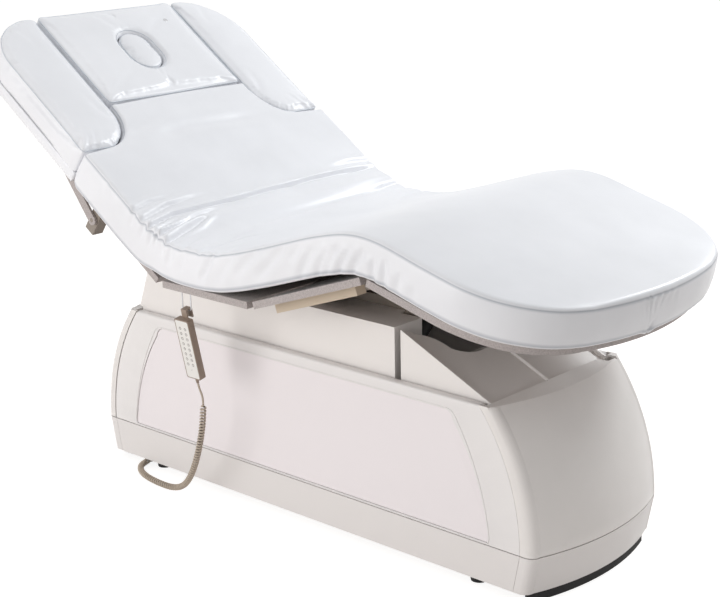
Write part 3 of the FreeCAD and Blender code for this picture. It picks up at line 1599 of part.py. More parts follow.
def handset_body():
    body = new_body()
    half, tall, thick = d.hand_half_wid, d.hand_tall, d.hand_thick
    pad(body, "XZ_Plane", zero, thick, rounded_rectangle(-half, half, -tall, zero, d.hand_round))
    face = zero.value
    round_edges(body, d.hand_taper * half_share, lambda edge: edge_on(edge, "y", face))
    foil = half - d.foil_in
    pocket(body, "XZ_Plane", -d.overrun, d.foil_thick, rounded_rectangle(
        -foil, foil, d.foil_in - tall, -d.foil_in, d.hand_round))
    wall, rise, leg = d.hook_wall, d.hook_rise, d.hook_leg
    inner = thick - wall
    reach = thick + d.hook_reach
    pad(body, "YZ_Plane", -d.hook_half, d.hook_half, [
        (inner, -rise), (thick, -rise), (thick, rise - wall), (reach - wall, rise - wall),
        (reach - wall, rise - leg), (reach, rise - leg), (reach, rise), (inner, rise)])
    relief = doc.addObject("Part::Cone", "Relief")
    bound(relief, Radius1=d.relief_rad * half_share + d.cord_rad * half_share, Radius2=d.relief_rad,
          Height=d.relief_len)
    place(relief, zero, thick * half_share, -tall - d.relief_len)
    return fused(body, relief)


def handset_foil():
    body = new_body()
    foil, tall = d.hand_half_wid - d.foil_in, d.hand_tall
    gap = d.foil_thick * half_share * half_share
    pad(body, "XZ_Plane", gap, d.foil_thick, rounded_rectangle(
        gap - foil, foil - gap, d.foil_in + gap - tall, -d.foil_in - gap, d.hand_round))
    return body


node("handset_body", handset_body(), on_hand)
node("handset_foil", handset_foil(), on_hand)


# Round tubes on routes of straight runs and tangent arcs

def rounded_route(points, radius_of):
    """Edges of a route whose corners are tangent arcs, with the arcs' radii."""
    edges, radii = [], []
    last = points[0]
    for index in range(1, len(points) - 1):
        here, before, after = points[index], points[index - 1], points[index + 1]
        inward, outward = (before - here).normalize(), (after - here).normalize()
        turn = math.pi - inward.getAngle(outward)
        radius = radius_of((here - before).Length, (after - here).Length, turn)
        back = radius * math.tan(turn * half_share)
        start, end = here + inward * back, here + outward * back
        sink = radius / math.cos(turn * half_share) - radius
        middle = here + (inward + outward).normalize() * sink
        edges.append(Part.LineSegment(last, start).toShape())
        edges.append(Part.Arc(start, middle, end).toShape())
        radii.append(radius)
        last = end
    edges.append(Part.LineSegment(last, points[-1]).toShape())
    return edges, radii


def swept_tube(edges, radius, start, along):
    spine = Part.Wire(edges)
    ring = Part.Wire([Part.Circle(start, along, radius).toShape()])
    return spine.makePipeShell([ring], True, False), spine.Length


def free_arc(before, after, turn):
    """Largest arc that two runs allow at a turn."""
    return 0.45 * min(before, after) / math.tan(turn * half_share)


def shaped(name, shape):
    piece = doc.addObject("Part::Feature", "Shaped")
    piece.Shape = shape
    return node(name, piece, on_cabinet)


def on_hand_point(y, z):
    """A point of the hand control's middle plane, seen from the cabinet."""
    lean = math.radians(d.hand_lean.value)
    return Vector(-d.hand_x.value, y * math.cos(lean) - z * math.sin(lean) - d.hand_y.value,
                  y * math.sin(lean) + z * math.cos(lean) + d.hand_top.value)


def handset_hook():
    """Wire loop under the seat board that the hand control's hook hangs on."""
    rad = d.wire_rad.value
    clear = rad + d.seat_gap.value
    seat = on_hand_point((d.hand_thick + d.hook_reach * half_share).value,
                         (d.hook_rise - d.hook_wall).value - clear)
    out = Vector(d.wire_half.value, 0, 0)
    top = board_low.value - clear
    foot = Vector(0, d.wire_foot.value, 0)
    corners = [seat + out, seat - out]
    heads = [Vector(corner.x, corner.y, top) for corner in corners]
    points = [heads[0] + foot, heads[0], corners[0], corners[1], heads[1], heads[1] + foot]
    edges, radii = rounded_route(points, lambda before, after, turn: d.wire_bend.value)
    shape, length = swept_tube(edges, rad, points[0], Vector(0, -1, 0))
    return shape


shaped("handset_hook", handset_hook())


# Curly cord: a short straight lead from the hand control, then a real helix
# that hangs to the floor and runs under the plinth to its gland.

LEAD_ROUTE = [(-186.1, -334.8, 292.0), (-187.0, -335.0, 276.0)]
COIL_ROUTE = [
    (-187.02, -335.0, 275.65), (-189.0, -335.5, 241.0), (-203.0, -332.0, 190.0), (-229.0, -326.0, 127.0),
    (-266.0, -315.0, 70.0), (-309.0, -303.0, 30.0), (-358.0, -295.0, 11.0), (-415.0, -292.0, 8.5),
    (-472.0, -284.0, 8.5), (-517.0, -264.0, 8.5), (-543.0, -236.0, 8.5), (-549.0, -200.0, 8.5),
]


def as_points(route):
    return [Vector(*point) for point in route]


def handset_lead():
    middle = (d.hand_thick * half_share).value
    below = d.hand_tall + d.relief_len + d.seat_gap
    points = [on_hand_point(middle, -below.value), on_hand_point(middle, -(below + d.lead_run).value)]
    points += as_points(LEAD_ROUTE)
    edges, radii = rounded_route(points, free_arc)
    print("lead radii", [round(radius, 1) for radius in radii])
    shape, length = swept_tube(edges, d.cord_rad.value, points[0], points[1] - points[0])
    print("lead length", round(length, 1))
    return shape


def route_frames(edges, count):
    """Points and upright frames at equal steps along a route."""
    spine = Part.Wire(edges)
    spots = spine.discretize(Number=count)
    frames = []
    side = Vector(0, 1, 0)
    for index, spot in enumerate(spots):
        ahead = spots[min(index + 1, count - 1)] - spots[max(index - 1, 0)]
        ahead.normalize()
        side = side - ahead * side.dot(ahead)
        side.normalize()
        frames.append((spot, ahead, side, ahead.cross(side)))
    return frames, spine.Length


def biarc(start, start_way, end, end_way):
    """Two tangent arcs between two points with given directions."""
    run = end - start
    both = start_way + end_way
    spread = 2 * (1 - start_way.dot(end_way))
    along = run.dot(both)
    reach = (math.sqrt(along * along + spread * run.dot(run)) - along) / spread
    joint = (start + start_way * reach + end - end_way * reach) * half_share
    return [tangent_arc(start, start_way, joint, False), tangent_arc(end, -end_way, joint, True)]


def tangent_arc(start, way, end, reverse):
    chord = end - start
    ahead = Vector(chord).normalize()
    aside = (way - ahead * way.dot(ahead)).normalize()
    lean = way.getAngle(chord)
    middle = start + chord * half_share + aside * (chord.Length * half_share * math.tan(lean * half_share))
    arc = Part.Arc(end, middle, start) if reverse else Part.Arc(start, middle, end)
    return arc.toShape()


def curl_point(frames, place_share, turns):
    """Point of the helix at a share of its length, with its frame."""
    index = place_share * (len(frames) - 1)
    low = min(int(index), len(frames) - 2)
    part = index - low
    spot = frames[low][0] * (1 - part) + frames[low + 1][0] * part
    side = frames[low][2] * (1 - part) + frames[low + 1][2] * part
    up = frames[low][3] * (1 - part) + frames[low + 1][3] * part
    angle = 2 * math.pi * turns * place_share
    return spot + (side * math.cos(angle) + up * math.sin(angle)) * d.curl_rad.value


def curly_cord():
    rad = d.cord_rad.value
    edges, radii = rounded_route(as_points(COIL_ROUTE), free_arc)
    print("coil route radii", [round(radius, 1) for radius in radii])
    turns = int(d.curl_count.value)
    frames, length = route_frames(edges, turns * 8 + 1)
    tail = 2 * rad
    inset = (tail + 2 * d.curl_rad.value) / length
    steps = turns * 2
    spots, ways = [], []
    fine = (1 - 2 * inset) / steps / 40
    for step in range(steps + 1):
        share = inset + (1 - 2 * inset) * step / steps
        spots.append(curl_point(frames, share, turns))
        way = curl_point(frames, share + fine, turns) - curl_point(frames, share - fine, turns)
        ways.append(way.normalize())
    head, foot = frames[0], frames[-1]
    straight = [head[0], head[0] + head[1] * tail]
    ending = [foot[0] - foot[1] * tail, foot[0]]
    path = [Part.LineSegment(straight[0], straight[1]).toShape()]
    path += biarc(straight[1], head[1], spots[0], ways[0])
    for step in range(steps):
        path += biarc(spots[step], ways[step], spots[step + 1], ways[step + 1])
    path += biarc(spots[-1], ways[-1], ending[0], foot[1])
    path.append(Part.LineSegment(ending[0], ending[1]).toShape())
    print("cord tube length", round(sum(edge.Length for edge in path), 1), "route", round(length, 1))
    print("least gap of the cord to itself", round(least_gap(path, rad), 2))
    shape, tube_length = swept_tube(path, rad, straight[0], head[1])
    return shape


def least_gap(path, rad):
    """Least gap between turns, measured on points of the centre line."""
    spots = []
    for edge in path:
        spots += edge.discretize(Number=4)[:-1]
    steps = [0.0]
    for index in range(1, len(spots)):
        steps.append(steps[-1] + (spots[index] - spots[index - 1]).Length)
    apart = 2 * math.pi * d.curl_rad.value * half_share
    least = apart
    for index, spot in enumerate(spots):
        for other in range(index + 1, min(index + 60, len(spots))):
            if steps[other] - steps[index] > apart:
                least = min(least, (spots[other] - spot).Length - 2 * rad)
    return least


def cord_gland():
    x, y, level = (Dim(value, repr(value)) for value in COIL_ROUTE[-1])
    collar = bar(x, y, level, "y", d.gland_rad, d.gland_len)
    stem = block(x - d.gland_block, x + d.gland_block, y + d.overrun, y + d.gland_len - d.overrun,
                 level, d.plinth_low)
    return fused(collar, stem)


shaped("handset_lead", handset_lead())
shaped("curly_cord", curly_cord())
node("cord_gland", cord_gland(), on_cabinet)


# Checks and output

def check_document():
    doc.recompute()
    for item in doc.Objects:
        if "Invalid" in item.State or "Error" in item.State:
            raise RuntimeError(f"{item.Label} ({item.Name}) failed: {item.State}")
    for piece in NODES:
        if piece.Shape.isNull() or not piece.Shape.isValid():
            raise RuntimeError(f"{piece.Label} has no valid shape")


check_document()
os.makedirs("parts", exist_ok=True)
for piece in NODES:
    piece.Shape.exportStep(f"parts/{piece.Label}.step")
print(len(NODES), "sub-parts written")
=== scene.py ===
"""Looks of the spa bed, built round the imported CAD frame. Metres, row frame."""
import json
import math

import bmesh
import bpy
import numpy as np
from mathutils import Matrix, Vector
from mathutils.bvhtree import BVHTree


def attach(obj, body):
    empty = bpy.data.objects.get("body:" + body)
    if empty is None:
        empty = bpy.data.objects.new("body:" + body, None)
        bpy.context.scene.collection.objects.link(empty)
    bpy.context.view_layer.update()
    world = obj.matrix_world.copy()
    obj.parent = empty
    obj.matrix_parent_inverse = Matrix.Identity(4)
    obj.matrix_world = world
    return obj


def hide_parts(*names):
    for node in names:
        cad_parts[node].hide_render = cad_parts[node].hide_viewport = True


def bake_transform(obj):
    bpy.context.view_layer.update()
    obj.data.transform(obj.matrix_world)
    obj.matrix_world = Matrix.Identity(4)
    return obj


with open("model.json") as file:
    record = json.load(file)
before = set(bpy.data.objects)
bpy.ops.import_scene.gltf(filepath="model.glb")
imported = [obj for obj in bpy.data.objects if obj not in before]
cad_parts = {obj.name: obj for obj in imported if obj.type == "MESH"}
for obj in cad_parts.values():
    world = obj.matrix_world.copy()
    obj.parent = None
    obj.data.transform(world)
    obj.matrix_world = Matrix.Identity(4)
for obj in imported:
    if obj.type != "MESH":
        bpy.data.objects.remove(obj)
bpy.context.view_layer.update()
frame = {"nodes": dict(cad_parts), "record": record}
scene = bpy.context.scene

CAB_X = 0.053
MM = 0.001


def cab(x, y, z):
    """Row-frame point from cabinet millimetres."""
    return Vector((x * MM + CAB_X, y * MM, z * MM))


# Camera

CAMERA_PLACE = (2.5318, -2.6782, 1.5326)
CAMERA_TURN = (42.8, 16.0, -1.1)
CAMERA_LENS = 81.64


def make_camera():
    azimuth, height, roll = (math.radians(angle) for angle in CAMERA_TURN)
    level = math.cos(height)
    back = Vector((math.sin(azimuth) * level, -math.cos(azimuth) * level, math.sin(height)))
    right = Vector((math.cos(azimuth), math.sin(azimuth), 0.0))
    up = back.cross(right)
    rolled_right = math.cos(roll) * right + math.sin(roll) * up
    rolled_up = -math.sin(roll) * right + math.cos(roll) * up
    turn = Matrix((rolled_right, rolled_up, back)).transposed().to_4x4()
    data = bpy.data.cameras.new("camera")
    data.lens, data.sensor_width, data.sensor_fit = CAMERA_LENS, 36.0, "HORIZONTAL"
    data.clip_start, data.clip_end = 0.05, 60.0
    camera = bpy.data.objects.new("camera", data)
    camera.matrix_world = Matrix.Translation(CAMERA_PLACE) @ turn
    scene.collection.objects.link(camera)
    scene.camera = camera


make_camera()


# Materials

def linear(rgb, shift=0):
    """Linear colour of an 8-bit one, with every channel shifted first."""
    shifted = [min(255, max(0, c + shift)) for c in rgb]
    return tuple(((c / 255 + 0.055) / 1.055) ** 2.4 if c > 10 else c / 255 / 12.92 for c in shifted) + (1.0,)


class Nodes:
    """A small helper that wires shader nodes of one material."""

    def __init__(self, name):
        self.mat = bpy.data.materials.new(name)
        self.mat.use_nodes = True
        self.tree = self.mat.node_tree
        self.shader = self.tree.nodes["Principled BSDF"]
        self.coords = self.add("ShaderNodeTexCoord").outputs["Object"]

    def add(self, kind, **props):
        made = self.tree.nodes.new(kind)
        for key, value in props.items():
            setattr(made, key, value)
        return made

    def fill(self, node, inputs):
        """Sets or links a node's inputs, by name or number."""
        for key, value in inputs.items():
            if isinstance(value, bpy.types.NodeSocket):
                self.tree.links.new(value, node.inputs[key])
            else:
                node.inputs[key].default_value = value

    def texture(self, kind, **values):
        made = self.add(kind)
        self.fill(made, {"Vector": self.coords, **values})
        return made

    def noise(self, scale, detail=4.0, rough=0.55, **more):
        made = self.texture("ShaderNodeTexNoise", Scale=scale, Detail=detail, Roughness=rough, **more)
        return made.outputs["Fac"]

    def attribute(self, name):
        return self.add("ShaderNodeAttribute", attribute_name=name).outputs["Fac"]

    def ramp(self, value, stops):
        """Colours, or grey levels where a stop gives one number."""
        made = self.add("ShaderNodeValToRGB")
        ramp = made.color_ramp
        while len(ramp.elements) < len(stops):
            ramp.elements.new(0.5)
        for element, (place, color) in zip(ramp.elements, stops):
            element.position = place
            element.color = color if isinstance(color, tuple) else (color, color, color, 1.0)
        self.fill(made, {"Fac": value})
        return made.outputs["Color"]

    def mix(self, factor, a, b):
        made = self.add("ShaderNodeMix", data_type="RGBA")
        self.fill(made, {0: factor, 6: a, 7: b})
        return made.outputs[2]

    def bump(self, height, strength, distance, **more):
        made = self.add("ShaderNodeBump")
        self.fill(made, {"Strength": strength, "Distance": distance, "Height": height, **more})
        return made.outputs["Normal"]

    def convex_edges(self):
        """White along convex edges, black elsewhere."""
        point = self.add("ShaderNodeNewGeometry").outputs["Pointiness"]
        span = self.add("ShaderNodeMapRange")
        self.fill(span, {"From Min": 0.51, "From Max": 0.60, "Value": point})
        return span.outputs["Result"]


def plastic(name, rgb, rough, spread=5, scale=7.0, grain=900.0, grain_deep=0.00012, metal=0.0, spec=0.5,
            shaded=None):
    """Moulded or painted surface with a fine grain, soft tone changes, lighter edges and painted shade where
    an attribute is named.
    """
    n = Nodes(name)
    cloud = n.noise(scale, 5.0, 0.6)
    color = n.ramp(cloud, [(0.3, linear(rgb, -spread)), (0.7, linear(rgb, spread))])
    # Lighter colour along convex edges, from the pointiness of the mesh.
    color = n.mix(n.convex_edges(), color, linear(rgb, 6))
    # Painted shade: where the named attribute is high, the colour darkens to under half its tone.
    if shaded:
        color = n.mix(n.attribute(shaded), color, linear(tuple(c * 0.45 for c in rgb)))
    fine = n.bump(n.noise(grain, 2.0), 0.35, grain_deep)
    n.fill(n.shader, {
        "Base Color": color,
        "Roughness": n.ramp(n.noise(scale * 3, 3.0), [(0.3, rough - 0.05), (0.7, rough + 0.06)]),
        "Metallic": metal,
        "Specular IOR Level": spec,
        "Normal": n.bump(n.noise(6.0, 2.0), 0.12, 0.002, Normal=fine),
    })
    return n.mat


def leather(name, rgb):
    """Smooth coated leatherette: fine pebble grain, faint creasing, soft tone changes, and seam lines
    darkened grey-blue with painted shade.
    """
    n = Nodes(name)
    color = n.ramp(n.noise(3.2, 4.0, 0.6), [(0.3, linear(rgb, -5)), (0.7, linear(rgb, 4))])
    # Painted shade along the seams: where the seam attribute is set, the colour goes towards a grey-blue, as
    # in the shade of a seam groove.
    seam = n.add("ShaderNodeMath", operation="MULTIPLY")
    n.fill(seam, {0: n.attribute("seam"), 1: 0.8})
    pebble = n.add("ShaderNodeTexVoronoi", feature="SMOOTH_F1")
    n.fill(pebble, {"Scale": 950.0, "Vector": n.coords})
    fine = n.bump(pebble.outputs["Distance"], 0.18, 0.0002)
    creased = n.bump(n.noise(160.0, 3.0, 0.5), 0.12, 0.0004, Normal=fine)
    n.fill(n.shader, {
        "Base Color": n.mix(seam.outputs[0], color, linear((158, 164, 174))),
        "Roughness": n.ramp(n.noise(9.0, 3.0), [(0.3, 0.31), (0.7, 0.43)]),
        "Specular IOR Level": 0.5,
        "Sheen Weight": 0.06,
        "Sheen Roughness": 0.5,
        "Normal": n.bump(n.noise(14.0, 3.0, 0.5), 0.16, 0.003, Normal=creased),
    })
    return n.mat


def felt(name, rgb):
    """Board wrapped in short felt."""
    n = Nodes(name)
    rough = n.bump(n.noise(900.0, 4.0, 0.7), 0.6, 0.0006)
    n.fill(n.shader, {
        "Base Color": n.ramp(n.noise(420.0, 5.0, 0.75), [(0.34, linear(rgb, -26)), (0.5, linear(rgb)),
                                                         (0.68, linear(rgb, 20))]),
        "Roughness": 0.92,
        "Specular IOR Level": 0.2,
        "Sheen Weight": 0.25,
        "Normal": n.bump(n.noise(60.0, 3.0), 0.25, 0.0012, Normal=rough),
    })
    return n.mat


def metal(name, rgb, rough=0.32):
    """Metal with faint drawn lines along its length."""
    n = Nodes(name)
    stretch = n.texture("ShaderNodeMapping", Scale=(1.0, 1.0, 14.0))
    lines = n.noise(60.0, 4.0, 0.7, Vector=stretch.outputs["Vector"])
    n.fill(n.shader, {
        "Base Color": n.ramp(lines, [(0.3, linear(rgb, -14)), (0.7, linear(rgb, 12))]),
        "Roughness": n.ramp(lines, [(0.2, rough - 0.08), (0.8, rough + 0.1)]),
        "Metallic": 1.0,
        "Normal": n.bump(lines, 0.15, 0.0002),
    })
    return n.mat


LEATHER = leather("white_leather", (241, 242, 246))
# Piping leather: a darker copy of the white leather, painted shade along the piped edges.
PIPING_SHADE_LEATHER = leather("piping_leather_painted_shade", (214, 219, 225))
UNDER = felt("under_cloth", (168, 164, 160))
FELT = felt("board_felt", (186, 178, 176))
MATS = {
    "frame_steel": plastic("frame_steel", (142, 132, 122), 0.4, 4, metal=0.2),
    "zinc_steel": metal("zinc_steel", (196, 196, 198)),
    "rubber_black": plastic("rubber_black", (34, 33, 33), 0.75, 3, spec=0.3),
    "white_panel": plastic("white_panel", (236, 233, 232), 0.36, 2, grain_deep=0.00006),
    "field_white": plastic("field_white", (240, 234, 236), 0.5, 2, grain=1400.0),
    "white_shell": plastic("white_shell", (238, 234, 231), 0.34, 2, grain_deep=0.00006),
    "plinth_white": plastic("plinth_white", (230, 226, 224), 0.42, 3),
    "column_alu": metal("column_alu", (205, 206, 208), 0.38),
    "black_plastic": plastic("black_plastic", (36, 35, 36), 0.5, 4),
    "board_felt": FELT,
    "white_leather": LEATHER,
    "handset_taupe": plastic("handset_taupe", (150, 132, 118), 0.4, 5),
    "foil_grey": plastic("foil_grey", (232, 230, 226), 0.36, 3),
    "cord_beige": plastic("cord_beige", (178, 166, 152), 0.42, 6, scale=40.0),
    "channel_beige": plastic("channel_beige", (208, 192, 170), 0.45, 6),
}
KEY_INK = plastic("key_ink", (104, 98, 94), 0.5, 4)
# The coil's material, with painted shade on the inside of its curls, read from the attribute inner.
CORD = plastic("cord_coil_painted_shade", (184, 170, 154), 0.42, 6, scale=40.0, shaded="inner")

SLOTS = {part["node"]: part["material_slot"] for part in frame["record"]["subparts"]}
for name, item in frame["nodes"].items():
    item.data.materials.clear()
    item.data.materials.append(MATS[SLOTS[name]])


def finish_piece(name, mesh, *mats):
    piece = bpy.data.objects.new(name, mesh)
    scene.collection.objects.link(piece)
    for mat in mats:
        mesh.materials.append(mat)
    return piece


def shade_smooth(mesh):
    mesh.polygons.foreach_set("use_smooth", [True] * len(mesh.polygons))


# Shapes that several pieces share

def make_mesh(name, verts, faces, slots=None):
    """Smooth mesh, with a material slot for each face where they differ."""
    mesh = bpy.data.meshes.new(name)
    mesh.from_pydata([tuple(v) for v in verts], [], faces)
    if slots is not None:
        mesh.polygons.foreach_set("material_index", slots)
    shade_smooth(mesh)
    mesh.update()
    return mesh


def smooth(value, low, high):
    """Soft step from nought at low to one at high."""
    t = np.clip((value - low) / (high - low), 0.0, 1.0)
    return t * t * (3 - 2 * t)


def along(line):
    """Length along a line up to each of its points."""
    return np.r_[0.0, np.cumsum(np.linalg.norm(np.diff(line, axis=0), axis=1))]


def spaced(line, steps, at):
    """Points of a line at the given lengths along it."""
    return np.stack([np.interp(at, steps, column) for column in line.T], axis=1)


def even_line(line, count):
    steps = along(line)
    return spaced(line, steps, np.linspace(0.0, steps[-1], count))


def even_ring(points, step=None, count=None):
    """Closed line at about even steps, or with a given count of points."""
    ring = np.vstack([points, points[:1]])
    steps = along(ring)
    kept = np.r_[True, np.diff(steps) > 1e-6]
    ring, steps = ring[kept], steps[kept]
    count = count or int(steps[-1] / step)
    return spaced(ring, steps, np.arange(count) * steps[-1] / count)


def bell(half, spread):
    """Weights of a bell curve that add up to one."""
    weights = np.exp(-0.5 * (np.arange(-half, half + 1) / spread) ** 2)
    return weights / weights.sum()


def eased(values, half, spread):
    """A run of values smoothed with a bell curve, its ends held."""
    padded = np.r_[2 * values[0] - values[half:0:-1], values, 2 * values[-1] - values[-2:-half - 2:-1]]
    return np.convolve(padded, bell(half, spread), "valid")


def softened(line, step, spread):
    """A polyline at even steps, with its corners eased."""
    line = np.array(line, float)
    steps = along(line)
    at = np.linspace(0, steps[-1], int(steps[-1] / step) + 1)
    half = int(4 * spread / step)
    return np.stack([eased(column, half, spread / step) for column in spaced(line, steps, at).T], axis=1)


def through(points, count=10):
    """Points on a smooth curve through all the points but the first and the last."""
    out = []
    for p0, p1, p2, p3 in zip(points, points[1:], points[2:], points[3:]):
        a, b, c, d = (np.array(p, float) for p in (p0, p1, p2, p3))
        for t in np.arange(count) / count:
            out.append(tuple(0.5 * (2 * b + (c - a) * t + (2 * a - 5 * b + 4 * c - d) * t ** 2
                                    + (3 * b - 3 * c + d - a) * t ** 3)))
    return out + [points[-2]]


def rounded_loop(points, radii, step=5.0):
    """Closed outline with rounded corners, at about even steps."""
    out = []
    count = len(points)
    for k in range(count):
        here, before, after = (np.array(points[(k + d) % count], float) for d in (0, -1, 1))
        a, b = before - here, after - here
        la, lb = np.linalg.norm(a), np.linalg.norm(b)
        reach = min(radii[k], la * 0.48, lb * 0.48)
        start, end = here + a / la * reach, here + b / lb * reach
        pieces = max(2, int(reach * 1.6 / step))
        for i in range(pieces + 1):
            t = i / pieces
            out.append((1 - t) ** 2 * start + 2 * t * (1 - t) * here + t ** 2 * end)
    return even_ring(out, step)


def oval(middle, half_len, half_wid):
    """Long opening with round ends."""
    flat = half_len - half_wid
    count = 72
    out = []
    for k in range(count):
        angle = 2 * math.pi * k / count
        out.append((middle + math.copysign(flat, math.cos(angle)) + half_wid * math.cos(angle),
                    half_wid * math.sin(angle)))
    return even_ring(out, count=count)


BOW_POINTS = 14


def bowed(start, end, bow):
    """Points on an arc from start to end, bulging to the left of the way by bow."""
    start, end = np.array(start, float), np.array(end, float)
    chord = end - start
    length = np.linalg.norm(chord)
    left = np.array([-chord[1], chord[0]]) / length
    radius = (length * length / 4 + bow * bow) / (2 * bow)
    middle = 0.5 * (start + end) - left * (radius - bow)
    half = math.asin(length / 2 / radius)
    return [tuple(middle + radius * (left * math.cos(t) + chord / length * math.sin(t)))
            for t in np.linspace(-half, half, BOW_POINTS)]


def loop_out(loop):
    """Direction out of a closed outline at each of its points."""
    way = np.roll(loop, -1, axis=0) - np.roll(loop, 1, axis=0)
    way /= np.linalg.norm(way, axis=1)[:, None]
    out = np.stack([way[:, 1], -way[:, 0]], axis=1)
    area = 0.5 * np.sum(loop[:, 0] * np.roll(loop[:, 1], -1) - np.roll(loop[:, 0], -1) * loop[:, 1])
    return out if area > 0 else -out


TUBE_SIDES = 8


def tube(name, line, radius, mat, closed=False):
    """Round tube along points, turned with the least twist."""
    count = len(line)
    if closed:
        ways = np.roll(line, -1, axis=0) - np.roll(line, 1, axis=0)
    else:
        ways = np.gradient(line, axis=0)
    ways /= np.linalg.norm(ways, axis=1)[:, None]
    side = np.cross(ways[0], [0.3, 0.5, 0.81])
    side /= np.linalg.norm(side)
    angles = np.arange(TUBE_SIDES)[:, None] * 2 * math.pi / TUBE_SIDES
    rings = []
    for spot, way in zip(line, ways):
        side = side - way * side.dot(way)
        side /= np.linalg.norm(side)
        rings.append(spot + radius * (np.cos(angles) * side + np.sin(angles) * np.cross(way, side)))
    faces = []
    for i in range(count if closed else count - 1):
        a, b = i * TUBE_SIDES, (i + 1) % count * TUBE_SIDES
        for j in range(TUBE_SIDES):
            m = (j + 1) % TUBE_SIDES
            faces.append((a + j, a + m, b + m, b + j))
    if not closed:
        faces.append(tuple(range(TUBE_SIDES))[::-1])
        faces.append(tuple((count - 1) * TUBE_SIDES + j for j in range(TUBE_SIDES)))
    return finish_piece(name, make_mesh(name, np.concatenate(rings), faces), mat)


def turned(profile, turns, place):
    """Points, faces and band of each face of a small turned shape: rings of (reach, rise) round a middle."""
    verts = [place(0.0, 0.0, profile[0][1])]
    for reach, rise in profile[1:]:
        for k in range(turns):
            angle = 2 * math.pi * k / turns
            verts.append(place(reach * math.cos(angle), reach * math.sin(angle), rise))
    faces, bands = [], []
    for k in range(turns):
        m = (k + 1) % turns
        faces.append((0, 1 + k, 1 + m))
        bands.append(0)
        for band in range(1, len(profile) - 1):
            a, b = 1 + (band - 1) * turns, 1 + band * turns
            faces.append((a + k, b + k, b + m, a + m))
            bands.append(band)
    return verts, faces, bands


# Curly cord

HANDSET_PLACE = (-193.0, -385.0, 487.0)
HANDSET_LEAN = 12.0
CORD_RADIUS = 0.0024
COIL_RADIUS = 0.0056
CORD_FLOOR = 0.0026
CURLS = 70
CURL_POINTS = 12
LEAD_POINTS = 14
# The curls open over one part in this number of the coil, at either end.
OPENING = 60.0
# Where the cord leaves the handset and the point below that, in the handset's own y and z.
HANDSET_END = [(8.5, -164.3), (8.5, -178.3)]


def hand_point(y, z):
    """Cabinet point of one in the leaning handset's middle plane."""
    lean = math.radians(HANDSET_LEAN)
    across, low_y, low_z = HANDSET_PLACE
    return (across, y * math.cos(lean) - z * math.sin(lean) + low_y,
            y * math.sin(lean) + z * math.cos(lean) + low_z)


LEAD_ROUTE = [(-186.1, -334.8, 292.0), (-187.0, -335.0, 276.0)]
COIL_ROUTE = [
    (-187.02, -335.0, 275.65), (-189.0, -335.5, 241.0), (-203.0, -332.0, 190.0), (-229.0, -326.0, 127.0),
    (-266.0, -315.0, 70.0), (-309.0, -303.0, 30.0), (-358.0, -295.0, 11.0), (-415.0, -292.0, 8.5),
    (-472.0, -284.0, 8.5), (-517.0, -264.0, 8.5), (-543.0, -236.0, 8.5), (-549.0, -200.0, 8.5),
]


def nurbs_line(name, points):
    """Points of the smooth curve over cabinet points, as Blender itself works them out."""
    data = bpy.data.curves.new(name, "CURVE")
    data.dimensions = "3D"
    data.resolution_u = 24
    line = data.splines.new("NURBS")
    line.points.add(len(points) - 1)
    for spot, point in zip(line.points, points):
        spot.co = (*cab(*point), 1.0)
    line.order_u = 3
    line.use_endpoint_u = True
    holder = bpy.data.objects.new("route_line", data)
    scene.collection.objects.link(holder)
    bpy.context.view_layer.update()
    mesh = bpy.data.meshes.new_from_object(holder)
    spots = np.array([v.co for v in mesh.vertices])
    bpy.data.objects.remove(holder)
    bpy.data.meshes.remove(mesh)
    return spots


def curled(route):
    """The route wound into curls that open from its ends, and how far they are open at each point."""
    ways = np.gradient(route, axis=0)
    ways /= np.linalg.norm(ways, axis=1)[:, None]
    side = np.array([0.0, 1.0, 0.0])
    coil, rises = [], []
    for index, (spot, way) in enumerate(zip(route, ways)):
        share = index / (len(route) - 1)
        side = side - way * side.dot(way)
        side /= np.linalg.norm(side)
        up = np.cross(way, side)
        rise = smooth(min(share, 1.0 - share) * OPENING, 0.0, 1.0)
        angle = 2 * math.pi * CURLS * share
        coil.append(spot + (side * math.cos(angle) + up * math.sin(angle)) * COIL_RADIUS * rise)
        rises.append(rise)
    coil = np.array(coil)
    coil[:, 2] = np.maximum(coil[:, 2], CORD_FLOOR)
    return coil, rises


def make_cord():
    start = [hand_point(*point) for point in HANDSET_END]
    lead = even_line(nurbs_line("lead_route", start + LEAD_ROUTE), LEAD_POINTS)
    upper = tube("cord_lead", lead, CORD_RADIUS, CORD)
    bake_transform(upper)
    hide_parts("handset_lead")
    route = even_line(nurbs_line("coil_route", COIL_ROUTE), CURLS * CURL_POINTS + 1)
    coil, rises = curled(route)
    piece = tube("cord", coil, CORD_RADIUS, CORD)
    # Painted shade on the inside of the curls, near the coil's axis where the turns shade each other; it
    # fades where the curls open at the ends.
    spots = np.array([v.co for v in piece.data.vertices])
    deep = np.linalg.norm(spots - np.repeat(route, TUBE_SIDES, axis=0), axis=1)
    shade = (1.0 - smooth(deep, 0.0030, 0.0064)) * np.repeat(rises, TUBE_SIDES) ** 2
    inner = piece.data.attributes.new("inner", "FLOAT", "POINT")
    inner.data.foreach_set("value", shade.astype(np.float32))
    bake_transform(piece)
    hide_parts("curly_cord")


make_cord()


# Handset keys

KEY_PROFILE = [(0.0, 0.30), (1.8, 0.26), (2.3, 0.10), (2.6, 0.34), (3.2, 0.40), (3.6, 0.22), (3.7, -0.10)]
RING_BANDS = (3, 4)
KEY_ROWS = 8
ARROW_ROWS = 6
KEY_ASIDE, FIRST_KEY, KEY_PITCH = 8.2, -22.0, 13.0
MARK_RISE = 0.36
DOT_PLACE, DOT_RADIUS = -127.0, 0.9


